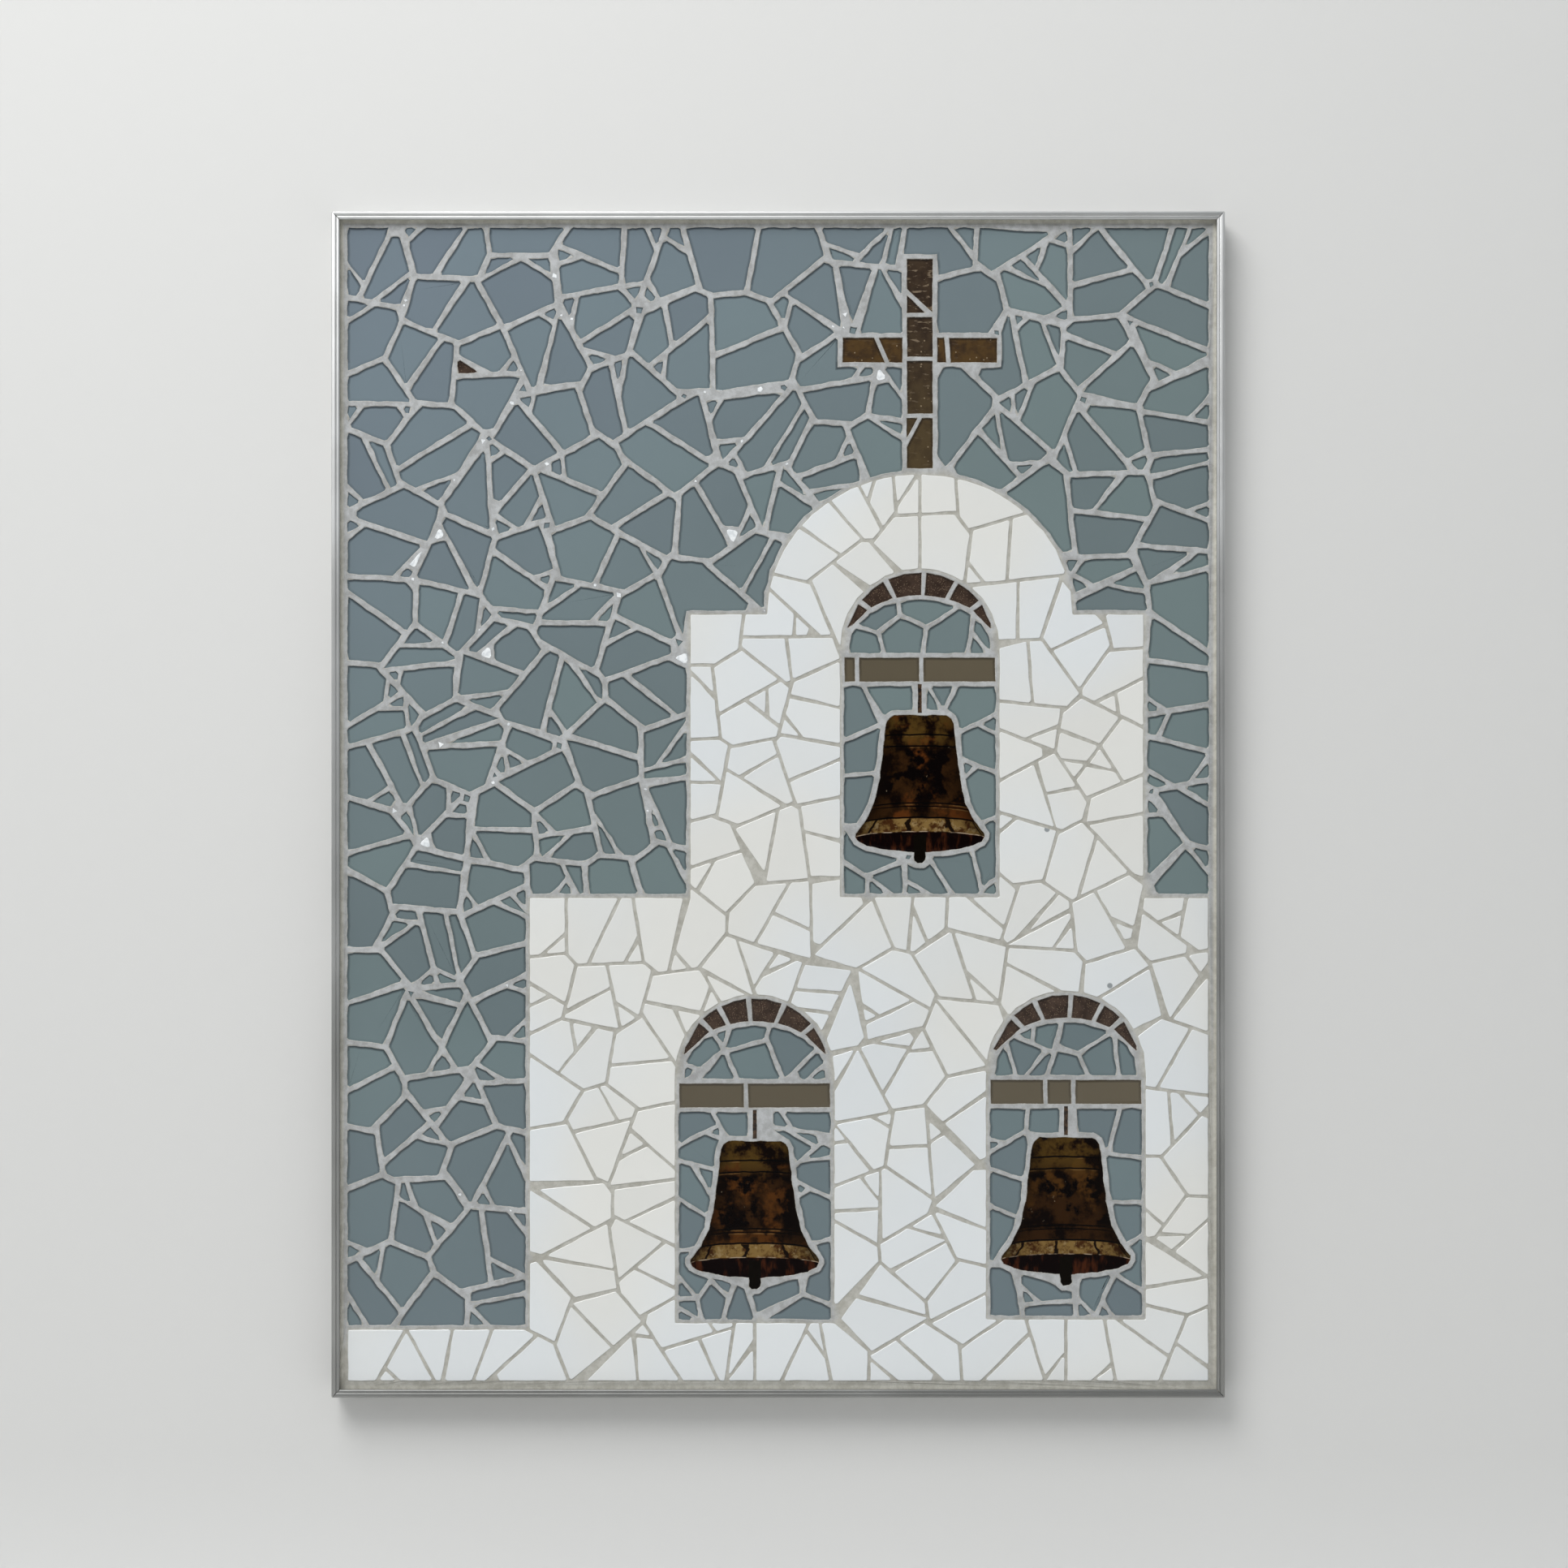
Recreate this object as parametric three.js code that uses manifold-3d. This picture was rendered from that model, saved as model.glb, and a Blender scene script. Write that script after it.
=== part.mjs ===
// A framed wall mosaic, in millimetres, +Z up, seen from -Y. Broken glass and ceramic tiles
// show a whitewashed bell gable against the sky: three arched openings with a bell in each,
// and a plain cross on top. The origin is the middle of the flat back, which lies on the wall.
import * as THREE from 'three';
import { mergeGeometries, mergeVertices } from 'three/addons/utils/BufferGeometryUtils.js';
import Module from 'manifold-3d';

const wasm = await Module();
wasm.setup();

// The panel
const PANEL_WIDTH = 610;
const PANEL_HEIGHT = 810;
const FIT_GAP = 0.3; // left between neighbouring pieces

// Depths, counted from the back of the panel to the front
const BOARD_FRONT = 12;
const BED_BACK = BOARD_FRONT + FIT_GAP;
const POCKET_FLOOR = BED_BACK + 0.6;
const GROUT_FACE = 16.4;
const TILE_FACE = 17;
const LIP_BACK = 20.2;
const PANEL_DEPTH = 22;
const OVERCUT = 1; // how far a cutter or a fused tile reaches past the face it crosses

// The aluminium edging: a side wall with a grooved lip that turns in over the mosaic's edge
const EDGING_WALL = 2;
const LIP_WIDTH = 5.6;
const LIP_ROUND = 1.2;
const LIP_CHAMFER = 0.5;
const GROOVE_START = 2.9;
const GROOVE_END = 3.9;
const GROOVE_DEPTH = 0.45;
const GROOVE_SLOPE = 0.3;
const MITRE_CUT = FIT_GAP / Math.SQRT2; // taken off each end of a bar

// Joints
const SKY_JOINT = 4.2;
const SHAFT_JOINT = 3.4; // between the smaller tiles in the openings
const WALL_JOINT = 1.9;
const SET_JOINT = 1.8; // from an opening's outline in to its brown pieces
const TRIM_JOINT = 3;
const BEAM_JOINT = 2.6;
const CROSS_JOINT = 2.6;
const BORDER = 10.5; // from the panel's outer edge to the first tile

// The building, centred on GABLE_X
const GABLE_X = 97;
const GABLE_BASE = 131;
const GABLE_RISE = 96;
const GABLE_HALF = 105.5;
const GABLE_STEPS = 10; // straight sides in a quarter of its curve
const UPPER_LEFT = -61;
const UPPER_RIGHT = 251;
const LOWER_TOP = -63;
const LOWER_LEFT = -171;
const PLINTH_TOP = -358.5;

// The three openings, all of one size. BEAM cuts are counted from the opening's middle.
const OPENING_HALF = 53.5;
const OPENING_HEIGHT = 223;
const ARCH_STEPS = 7; // straight sides in a quarter of its circle
const OPENINGS = [
  { name: 'upper', x: GABLE_X, crown: 160.5, beamCuts: [-43, 1] },
  { name: 'lower_left', x: -16, crown: -131, beamCuts: [-6] },
  { name: 'lower_right', x: 197, crown: -128.5, beamCuts: [-14, 5] },
];
const BEAM_DROP = 60; // from the crown down to the beam
const BEAM_HEIGHT = 16.5;
const HANGER_HALF = 1.5;
const HANGER_GAPS = [0.9, 1.4]; // to the bell below and to the beam above

// The brown arch in the head of an opening
const TRIM_RISE = 15.5; // its thickness at the crown
const TRIM_START = 14; // degrees above the springing
const TRIM_PIECES = 6;
const TRIM_SHIFT = 6; // the most that a joint is moved, in degrees
const TRIM_SEED = 60;

// The bell. Its half width grows from the shoulder to the lip as FLARE says.
const BELL_DROP = 99; // from the crown down to the bell's top
const BELL_TOP_HALF = 18;
const BELL_SHOULDER_HALF = 23.5;
const BELL_SHOULDER_DROP = 6;
const FLARE = { taper: 8, curl: 13, power: 5 };
const BELL_LIP_HALF = 44.5;
const BELL_LIP_DROP = 84;
const BELL_LIP_EDGE = 2.5;
const MOUTH_SAG = 10.5;
const CLAPPER_HALF = 4.4;
const CLAPPER_DROP = 102;

// The cross. The upright is cut across at CROSS_CUTS.
const CROSS_HALF = 9;
const CROSS_FOOT = 229.8;
const CROSS_CUTS = [266, 305, 335];
const CROSS_TOP = 373.5;
const ARM_HALF = 53;
const ARM_Z = 311;
const ARM_HALF_HEIGHT = 8.6;

// Paving: how far apart the tiles' middles are scattered, how far in degrees the joints between
// them are turned, and the area in mm2 over which a tile is broken again
const SKY_PAVING = { spacing: 47, joint: SKY_JOINT, twist: 9, splitArea: 1580, seed: 13 };
const LUNETTE_PAVING = { spacing: 31, joint: SHAFT_JOINT, twist: 7, splitArea: 900, seed: 23 };
const SHAFT_PAVING = { spacing: 34, joint: SHAFT_JOINT, twist: 7, splitArea: 1000, seed: 41 };
const WALL_PAVING = { spacing: 46, joint: WALL_JOINT, twist: 6, splitArea: 1650, seed: 5 };
const SCATTER_TRIES = 9000;
const SCATTER_ROOM = [0.72, 1.22]; // the closest two middles may lie, as shares of the spacing
const TWIST_REACH = 1.7; // only neighbours within this many spacings have their joint turned
const SPLIT_SPREAD = [0.75, 1.35]; // shares of the split area
const SPLIT_SWING = 35; // degrees either way
const SPLIT_SHIFT = 4;
const SMALLEST_TILE = 60; // mm2
const THINNEST_TILE = 2; // area over edge length
const SHORTEST_EDGE = 4.5;
const STRAIGHTEST_CORNER = 3; // mm2, twice the area that a dropped point takes off
const NIPPED_ANGLE = 50; // a corner sharper than this, in degrees, loses its tip
const NIP = 6;

const radians = THREE.MathUtils.degToRad;
const degrees = THREE.MathUtils.radToDeg;
const at = (x, z) => new THREE.Vector2(x, z);

// ---------------------------------------------------------------- outlines

// Points on an elliptic arc, from one angle to another in degrees, both ends included
function arc(x, z, halfWidth, halfHeight, from, to, steps) {
  return Array.from({ length: steps + 1 }, (_, i) => {
    const angle = radians(from + ((to - from) * i) / steps);
    return at(x + halfWidth * Math.cos(angle), z + halfHeight * Math.sin(angle));
  });
}

function rectangle(left, right, bottom, top) {
  return [at(left, bottom), at(right, bottom), at(right, top), at(left, top)];
}

// Moves every side of an anticlockwise outline in by a distance, or out if it is negative
function inset(outline, distance) {
  return outline.map((point, i) => {
    const before = outline.at(i - 1);
    const after = outline[(i + 1) % outline.length];
    const a = point.clone().sub(before).normalize();
    const b = after.clone().sub(point).normalize();
    const normal = at(-a.y - b.y, a.x + b.x);
    return point.clone().addScaledVector(normal, distance / (1 + a.dot(b)));
  });
}

const edgeX = (border) => PANEL_WIDTH / 2 - border;
const edgeZ = (border) => PANEL_HEIGHT / 2 - border;

const gableArc = (from, to, steps) =>
  arc(GABLE_X, GABLE_BASE, GABLE_HALF, GABLE_RISE, from, to, steps);

const openingArc = ({ x, crown }, from, to, steps) =>
  arc(x, crown - OPENING_HALF, OPENING_HALF, OPENING_HALF, from, to, steps);

// An opening runs straight up from its sill to the springing of a half-round arch
function openingOutline(opening) {
  const sill = opening.crown - OPENING_HEIGHT;
  return [
    at(opening.x - OPENING_HALF, sill),
    at(opening.x + OPENING_HALF, sill),
    ...openingArc(opening, 0, 180, 2 * ARCH_STEPS),
  ];
}

// The building's outline, from the panel's bottom left corner anticlockwise. A detour may leave
// it along the bottom and another at the gable's top.
function wallOutline(border, bottomDetour = [], topDetour = []) {
  return [
    at(-edgeX(border), -edgeZ(border)),
    ...bottomDetour,
    at(edgeX(border), -edgeZ(border)),
    at(edgeX(border), LOWER_TOP),
    at(UPPER_RIGHT, LOWER_TOP),
    at(UPPER_RIGHT, GABLE_BASE),
    ...gableArc(0, 90, GABLE_STEPS),
    ...topDetour,
    ...gableArc(90, 180, GABLE_STEPS).slice(1),
    at(UPPER_LEFT, GABLE_BASE),
    at(UPPER_LEFT, LOWER_TOP),
    at(LOWER_LEFT, LOWER_TOP),
    at(LOWER_LEFT, PLINTH_TOP),
    at(-edgeX(border), PLINTH_TOP),
  ];
}

// The same outline led round the three openings, each reached along an upright joint: the lower
// two from the panel's bottom, the upper one from the gable's top
function wallPavingOutline(border) {
  const [upper, ...lower] = OPENINGS;
  const sillPoint = ({ x, crown }, half) => at(x + half, crown - OPENING_HEIGHT);
  const bottomDetour = lower.flatMap((opening) => [
    at(opening.x, -edgeZ(border)),
    sillPoint(opening, 0),
    sillPoint(opening, -OPENING_HALF),
    ...openingArc(opening, 180, 0, 2 * ARCH_STEPS),
    sillPoint(opening, OPENING_HALF),
    sillPoint(opening, 0),
    at(opening.x, -edgeZ(border)),
  ]);
  const topDetour = [
    ...openingArc(upper, 90, 0, ARCH_STEPS),
    sillPoint(upper, OPENING_HALF),
    sillPoint(upper, -OPENING_HALF),
    ...openingArc(upper, 180, 90, ARCH_STEPS),
    at(GABLE_X, GABLE_BASE + GABLE_RISE),
  ];
  return wallOutline(border, bottomDetour, topDetour);
}

// Leads the gable's curve up one side of the cross that stands on it and down the other
function gableWithCross() {
  const gap = CROSS_JOINT / 2;
  const half = CROSS_HALF + gap;
  const footAngle = degrees(Math.acos(half / GABLE_HALF));
  const rightSide = [
    at(GABLE_X + half, ARM_Z - ARM_HALF_HEIGHT - gap),
    at(GABLE_X + ARM_HALF + gap, ARM_Z - ARM_HALF_HEIGHT - gap),
    at(GABLE_X + ARM_HALF + gap, ARM_Z + ARM_HALF_HEIGHT + gap),
    at(GABLE_X + half, ARM_Z + ARM_HALF_HEIGHT + gap),
    at(GABLE_X + half, CROSS_TOP + gap),
  ];
  const leftSide = rightSide.map((point) => at(2 * GABLE_X - point.x, point.y));
  return [
    ...gableArc(180, 180 - footAngle, GABLE_STEPS),
    ...leftSide,
    ...rightSide.toReversed(),
    ...gableArc(footAngle, 0, GABLE_STEPS),
  ];
}

// The sky's outline, round the whole building
function skyOutline(border, gable) {
  return [
    at(-edgeX(border), PLINTH_TOP),
    at(LOWER_LEFT, PLINTH_TOP),
    at(LOWER_LEFT, LOWER_TOP),
    at(UPPER_LEFT, LOWER_TOP),
    at(UPPER_LEFT, GABLE_BASE),
    ...gable,
    at(UPPER_RIGHT, GABLE_BASE),
    at(UPPER_RIGHT, LOWER_TOP),
    at(edgeX(border), LOWER_TOP),
    at(edgeX(border), edgeZ(border)),
    at(-edgeX(border), edgeZ(border)),
  ];
}

// One side of a bell seen a little from below, as [half width, drop] from its clapper up to its
// top: a mouth that sags in an arc, a short straight lip, a flared body and a rounded shoulder
function bellSide() {
  const mouthDrop = (half) => BELL_LIP_DROP + MOUTH_SAG * Math.sqrt(1 - (half / BELL_LIP_HALF) ** 2);
  const halfAt = (t) => BELL_SHOULDER_HALF + FLARE.taper * t + FLARE.curl * t ** FLARE.power;
  const flareHeight = BELL_LIP_DROP - BELL_LIP_EDGE - BELL_SHOULDER_DROP;
  const mouth = [CLAPPER_HALF, 22, 36, 42.6].map((half) => [half, mouthDrop(half)]);
  const flare = [1, 0.88, 0.72, 0.5, 0].map((t) => [halfAt(t), BELL_SHOULDER_DROP + t * flareHeight]);
  return [
    [CLAPPER_HALF / 2, CLAPPER_DROP],
    [CLAPPER_HALF, CLAPPER_DROP - CLAPPER_HALF / 2],
    ...mouth,
    [BELL_LIP_HALF, BELL_LIP_DROP],
    ...flare,
    [BELL_SHOULDER_HALF - 1.6, BELL_SHOULDER_DROP * 0.4],
    [BELL_TOP_HALF, 0],
  ];
}

function bellOutline({ x, crown }) {
  const top = crown - BELL_DROP;
  const right = bellSide().map(([half, drop]) => at(x + half, top - drop));
  const left = bellSide().toReversed().map(([half, drop]) => at(x - half, top - drop));
  return [...right, ...left];
}

// ---------------------------------------------------------------- broken tiles

function seededRandom(seed) {
  let state = seed;
  return () => {
    state = (state + 0x6d2b79f5) | 0;
    let t = Math.imul(state ^ (state >>> 15), 1 | state);
    t = (t + Math.imul(t ^ (t >>> 7), 61 | t)) ^ t;
    return ((t ^ (t >>> 14)) >>> 0) / 4294967296;
  };
}

const between = ([low, high], share) => low + (high - low) * share;
const areaOf = (outline) => THREE.ShapeUtils.area(outline);
const lengthOf = (outline) =>
  outline.reduce((sum, point, i) => sum + point.distanceTo(outline.at(i - 1)), 0);

function centreOf(outline) {
  const centre = at(0, 0);
  outline.forEach((point, i) => {
    const before = outline.at(i - 1);
    const cross = before.cross(point);
    centre.x += (before.x + point.x) * cross;
    centre.y += (before.y + point.y) * cross;
  });
  return centre.divideScalar(6 * areaOf(outline));
}

function contains(outline, point) {
  let inside = false;
  outline.forEach((a, i) => {
    const b = outline.at(i - 1);
    const crosses = a.y > point.y !== b.y > point.y;
    if (crosses && point.x < ((b.x - a.x) * (point.y - a.y)) / (b.y - a.y) + a.x) inside = !inside;
  });
  return inside;
}

// Keeps what lies on the normal's side of a line. A bent outline may come apart there: its kept
// runs are joined along the line, each run's end to the start that lies next to it.
function cutOff(outline, through, normal) {
  const height = outline.map((point) => point.clone().sub(through).dot(normal));
  if (height.every((h) => h >= 0)) return [outline];
  if (height.every((h) => h < 0)) return [];
  const crossing = (i, j) =>
    outline[i].clone().lerp(outline[j], height[i] / (height[i] - height[j]));
  const first = height.findIndex((h, i) => h >= 0 && height.at(i - 1) < 0);
  const runs = [];
  for (let k = 0; k < outline.length; k += 1) {
    const i = (first + k) % outline.length;
    const before = (i + outline.length - 1) % outline.length;
    if (height[i] >= 0 && height[before] < 0) runs.push([crossing(before, i)]);
    if (height[i] >= 0) runs.at(-1).push(outline[i]);
    if (height[i] < 0 && height[before] >= 0) runs.at(-1).push(crossing(before, i));
  }
  const along = at(-normal.y, normal.x);
  const ends = runs.flatMap((points, index) => [
    { index, start: true, place: points[0].dot(along) },
    { index, start: false, place: points.at(-1).dot(along) },
  ]);
  ends.sort((a, b) => a.place - b.place);
  const follows = new Map();
  for (let k = 0; k + 1 < ends.length; k += 2) {
    const [a, b] = [ends[k], ends[k + 1]];
    follows.set(a.start ? b.index : a.index, a.start ? a.index : b.index);
  }
  const used = new Set();
  const pieces = runs.map((_, start) => {
    const piece = [];
    for (let k = start; k !== undefined && !used.has(k); k = follows.get(k)) {
      used.add(k);
      piece.push(...runs[k]);
    }
    return piece;
  });
  return pieces.filter((piece) => piece.length > 2);
}

// Scatters points in an outline, no two closer than about the spacing
function scatter(outline, spacing, random) {
  const box = new THREE.Box2().setFromPoints(outline);
  const size = box.getSize(at(0, 0));
  const points = [];
  for (let tries = 0; tries < SCATTER_TRIES; tries += 1) {
    const point = at(box.min.x + random() * size.x, box.min.y + random() * size.y);
    const room = spacing * between(SCATTER_ROOM, random());
    if (contains(outline, point) && points.every((p) => p.distanceTo(point) > room)) {
      points.push(point);
    }
  }
  return points;
}

// Drops points on straight lines, and of each short side the outward corner that matters less
function tidied(outline) {
  const points = [...outline];
  const cornerAt = (i) => {
    const a = points[i].clone().sub(points.at(i - 1));
    const b = points[(i + 1) % points.length].clone().sub(points[i]);
    return a.cross(b);
  };
  const dropAt = (i) => {
    if (Math.abs(cornerAt(i)) < STRAIGHTEST_CORNER) return i;
    const next = (i + 1) % points.length;
    if (points[i].distanceTo(points[next]) > SHORTEST_EDGE) return -1;
    const outward = [i, next].filter((k) => cornerAt(k) > 0);
    return outward.sort((a, b) => cornerAt(a) - cornerAt(b))[0] ?? -1;
  };
  for (let i = 0; i < points.length && points.length > 3; ) {
    const drop = dropAt(i);
    if (drop >= 0) points.splice(drop, 1);
    i = drop >= 0 ? 0 : i + 1;
  }
  return points;
}

// Breaks the tips off sharp corners
function nipped(outline) {
  let pieces = [outline];
  outline.forEach((point, i) => {
    const a = outline.at(i - 1).clone().sub(point);
    const b = outline[(i + 1) % outline.length].clone().sub(point);
    const sharp = a.angleTo(b) < radians(NIPPED_ANGLE) && b.cross(a) > 0;
    if (!sharp || Math.min(a.length(), b.length()) < 3 * NIP) return;
    const inward = a.normalize().add(b.normalize()).normalize();
    const through = point.clone().addScaledVector(inward, NIP);
    pieces = pieces.flatMap((piece) => cutOff(piece, through, inward));
  });
  return pieces[0] ?? outline;
}

// Breaks a tile in two across its length while it is larger than it should be
function broken(outline, paving, random) {
  if (areaOf(outline) < paving.splitArea * between(SPLIT_SPREAD, random())) return [outline];
  const centre = centreOf(outline);
  const far = outline.reduce((a, b) => (b.distanceTo(centre) > a.distanceTo(centre) ? b : a));
  const across = far.clone().sub(centre).normalize();
  across.rotateAround(at(0, 0), radians(between([-SPLIT_SWING, SPLIT_SWING], random())));
  const through = centre.addScaledVector(across, between([-SPLIT_SHIFT, SPLIT_SHIFT], random()));
  return [1, -1].flatMap((side) => {
    const normal = across.clone().multiplyScalar(side);
    const edge = through.clone().addScaledVector(normal, paving.joint / 2);
    return cutOff(outline, edge, normal).flatMap((piece) => broken(piece, paving, random));
  });
}

// Breaks an area into tiles, with a joint between them. Each pair of scattered points is parted
// by a line that is turned a little, so that the joints meet at odd, uneven junctions.
function crazyPaving(outline, paving) {
  const random = seededRandom(paving.seed);
  const middles = scatter(outline, paving.spacing, random);
  const turns = middles.map(() => middles.map(() => paving.twist * between([-1, 1], random())));
  const tiles = middles.flatMap((middle, i) => {
    const others = middles.map((other, j) => ({ other, j, away: middle.distanceTo(other) }));
    others.sort((a, b) => a.away - b.away);
    let pieces = [outline];
    others.slice(1).forEach(({ other, j, away }) => {
      const near = away < TWIST_REACH * paving.spacing;
      const turn = near ? turns[Math.min(i, j)][Math.max(i, j)] : 0;
      const normal = middle.clone().sub(other).normalize();
      normal.rotateAround(at(0, 0), radians(turn));
      const through = middle.clone().lerp(other, 0.5).addScaledVector(normal, paving.joint / 2);
      pieces = pieces.flatMap((piece) => cutOff(piece, through, normal));
    });
    return pieces.flatMap((piece) => broken(piece, paving, random));
  });
  return tiles
    .map((tile) => tidied(nipped(tidied(tile))))
    .filter((tile) => tile.length > 2 && areaOf(tile) > SMALLEST_TILE)
    .filter((tile) => areaOf(tile) / lengthOf(tile) > THINNEST_TILE);
}

// ---------------------------------------------------------------- solids

// A flat plate of an outline, standing upright between two depths
function plate(outline, back, front) {
  const shape = new THREE.Shape(outline);
  const geometry = new THREE.ExtrudeGeometry(shape, { depth: front - back, bevelEnabled: false });
  return geometry.translate(0, 0, back).rotateX(Math.PI / 2);
}

function asManifold(geometry) {
  const bare = geometry.clone();
  bare.deleteAttribute('normal');
  bare.deleteAttribute('uv');
  const merged = mergeVertices(bare, 1e-4);
  return new wasm.Manifold(new wasm.Mesh({
    numProp: 3,
    vertProperties: new Float32Array(merged.attributes.position.array),
    triVerts: new Uint32Array(merged.index.array),
  }));
}

function fromManifold(solid) {
  const mesh = solid.getMesh();
  const geometry = new THREE.BufferGeometry();
  geometry.setAttribute('position', new THREE.BufferAttribute(mesh.vertProperties, 3));
  geometry.setIndex(new THREE.BufferAttribute(mesh.triVerts, 1));
  geometry.computeVertexNormals();
  return geometry;
}

// A bed of grout with tiles that stand proud of it and pockets for the pieces set into it
function mosaicField({ outline, holes = [], pockets = [], tiles }) {
  const cutters = [
    ...holes.map((hole) => plate(hole, BED_BACK - OVERCUT, GROUT_FACE + OVERCUT)),
    ...pockets.map((pocket) => plate(pocket, POCKET_FLOOR, GROUT_FACE + OVERCUT)),
  ];
  const bed = cutters.reduce(
    (solid, cutter) => solid.subtract(asManifold(cutter)),
    asManifold(plate(outline, BED_BACK, GROUT_FACE)),
  );
  const standing = tiles.map((tile) => plate(tile, GROUT_FACE - OVERCUT, TILE_FACE));
  return fromManifold(bed.add(asManifold(mergeGeometries(standing))));
}

// One bar of the edging, lying along X with its outer face down, cut at 45 degrees at both ends
function edgingBar(length) {
  const profile = [
    at(0, 0),
    at(EDGING_WALL, 0),
    at(EDGING_WALL, LIP_BACK),
    at(LIP_WIDTH, LIP_BACK),
    at(LIP_WIDTH, PANEL_DEPTH - LIP_CHAMFER),
    at(LIP_WIDTH - LIP_CHAMFER, PANEL_DEPTH),
    at(GROOVE_END, PANEL_DEPTH),
    at(GROOVE_END - GROOVE_SLOPE, PANEL_DEPTH - GROOVE_DEPTH),
    at(GROOVE_START + GROOVE_SLOPE, PANEL_DEPTH - GROOVE_DEPTH),
    at(GROOVE_START, PANEL_DEPTH),
    ...arc(LIP_ROUND, PANEL_DEPTH - LIP_ROUND, LIP_ROUND, LIP_ROUND, 90, 180, 3),
  ];
  const shape = new THREE.Shape(profile);
  const geometry = new THREE.ExtrudeGeometry(shape, { depth: length, bevelEnabled: false });
  const place = geometry.attributes.position;
  for (let i = 0; i < place.count; i += 1) {
    const inward = place.getX(i);
    const reach = length / 2 - inward - MITRE_CUT;
    const along = place.getZ(i) > length / 2 ? reach : -reach;
    place.setXYZ(i, along, -place.getY(i), inward);
  }
  geometry.computeVertexNormals();
  return geometry;
}

// ---------------------------------------------------------------- pieces

const FINISH = {
  sky: { color: 0x6f7f88, roughness: 0.15, metalness: 0 },
  wall: { color: 0xe3e6e4, roughness: 0.2, metalness: 0 },
  brown: { color: 0x46341f, roughness: 0.25, metalness: 0 },
  beam: { color: 0x63573f, roughness: 0.2, metalness: 0 },
  bell: { color: 0x3a2411, roughness: 0.3, metalness: 0 },
  edging: { color: 0xbdbeba, roughness: 0.35, metalness: 0.9 },
  board: { color: 0xa98d63, roughness: 0.8, metalness: 0 },
};

const group = new THREE.Group();

function piece(name, geometry, finish, parent = group) {
  const mesh = new THREE.Mesh(geometry, new THREE.MeshStandardMaterial(finish));
  mesh.name = name;
  parent.add(mesh);
}

// A cut piece set into the grout. Its pocket, a little larger, is given back.
function setPiece(name, outline, finish) {
  piece(name, plate(outline, POCKET_FLOOR + FIT_GAP, TILE_FACE), finish);
  return inset(outline, -FIT_GAP);
}

function makeEdging() {
  const sides = [
    ['frame_bottom', PANEL_WIDTH, 0, at(0, -PANEL_HEIGHT / 2)],
    ['frame_top', PANEL_WIDTH, 180, at(0, PANEL_HEIGHT / 2)],
    ['frame_left', PANEL_HEIGHT, 90, at(-PANEL_WIDTH / 2, 0)],
    ['frame_right', PANEL_HEIGHT, -90, at(PANEL_WIDTH / 2, 0)],
  ];
  sides.forEach(([name, length, turn, place]) => {
    const side = new THREE.Group();
    side.rotation.y = radians(turn);
    side.position.set(place.x, 0, place.y);
    group.add(side);
    piece(name, edgingBar(length), FINISH.edging, side);
  });
}

function makeBoard() {
  const border = EDGING_WALL + FIT_GAP;
  const outline = rectangle(-edgeX(border), edgeX(border), -edgeZ(border), edgeZ(border));
  piece('backing_board', plate(outline, 0, BOARD_FRONT), FINISH.board);
}

// Snaps a cut piece in two along a line, and gives the part on the line's left first
function snapped(outline, through, angle) {
  const left = at(-Math.sin(radians(angle)), Math.cos(radians(angle)));
  return [1, -1].map((side) => {
    const away = left.clone().multiplyScalar(side);
    const edge = through.clone().addScaledVector(away, CROSS_JOINT / 2);
    return tidied(cutOff(outline, edge, away)[0]);
  });
}

// The upright is cut across into lengths, and both its ends have lost a corner. Each arm is in
// two pieces.
function makeCross() {
  const gap = CROSS_JOINT / 2;
  const ends = [CROSS_FOOT - gap, ...CROSS_CUTS, CROSS_TOP + gap];
  const [foot, shaft, middle, head] = ends.slice(1).map((top, i) =>
    rectangle(GABLE_X - CROSS_HALF, GABLE_X + CROSS_HALF, ends[i] + gap, top - gap));
  const arm = (from, to) =>
    rectangle(GABLE_X + from, GABLE_X + to, ARM_Z - ARM_HALF_HEIGHT, ARM_Z + ARM_HALF_HEIGHT);
  const inner = CROSS_HALF + CROSS_JOINT;
  const [footCorner, footMain] = snapped(foot, at(GABLE_X - 4, CROSS_CUTS[0] - 9), 62);
  const [headMain, headCorner] = snapped(head, at(GABLE_X - 2, CROSS_CUTS[2] + 9), -45);
  const [leftOuter, leftInner] = snapped(arm(-ARM_HALF, -inner), at(GABLE_X - 26, ARM_Z), 114);
  const [rightInner, rightOuter] = snapped(arm(inner, ARM_HALF), at(GABLE_X + 19, ARM_Z), 94);
  const pieces = {
    foot: footMain,
    foot_corner: footCorner,
    shaft,
    middle,
    head: headMain,
    head_corner: headCorner,
    arm_left_outer: leftOuter,
    arm_left_inner: leftInner,
    arm_right_inner: rightInner,
    arm_right_outer: rightOuter,
  };
  return Object.entries(pieces).map(([name, outline]) =>
    setPiece(`cross_${name}`, outline, FINISH.brown));
}

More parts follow.
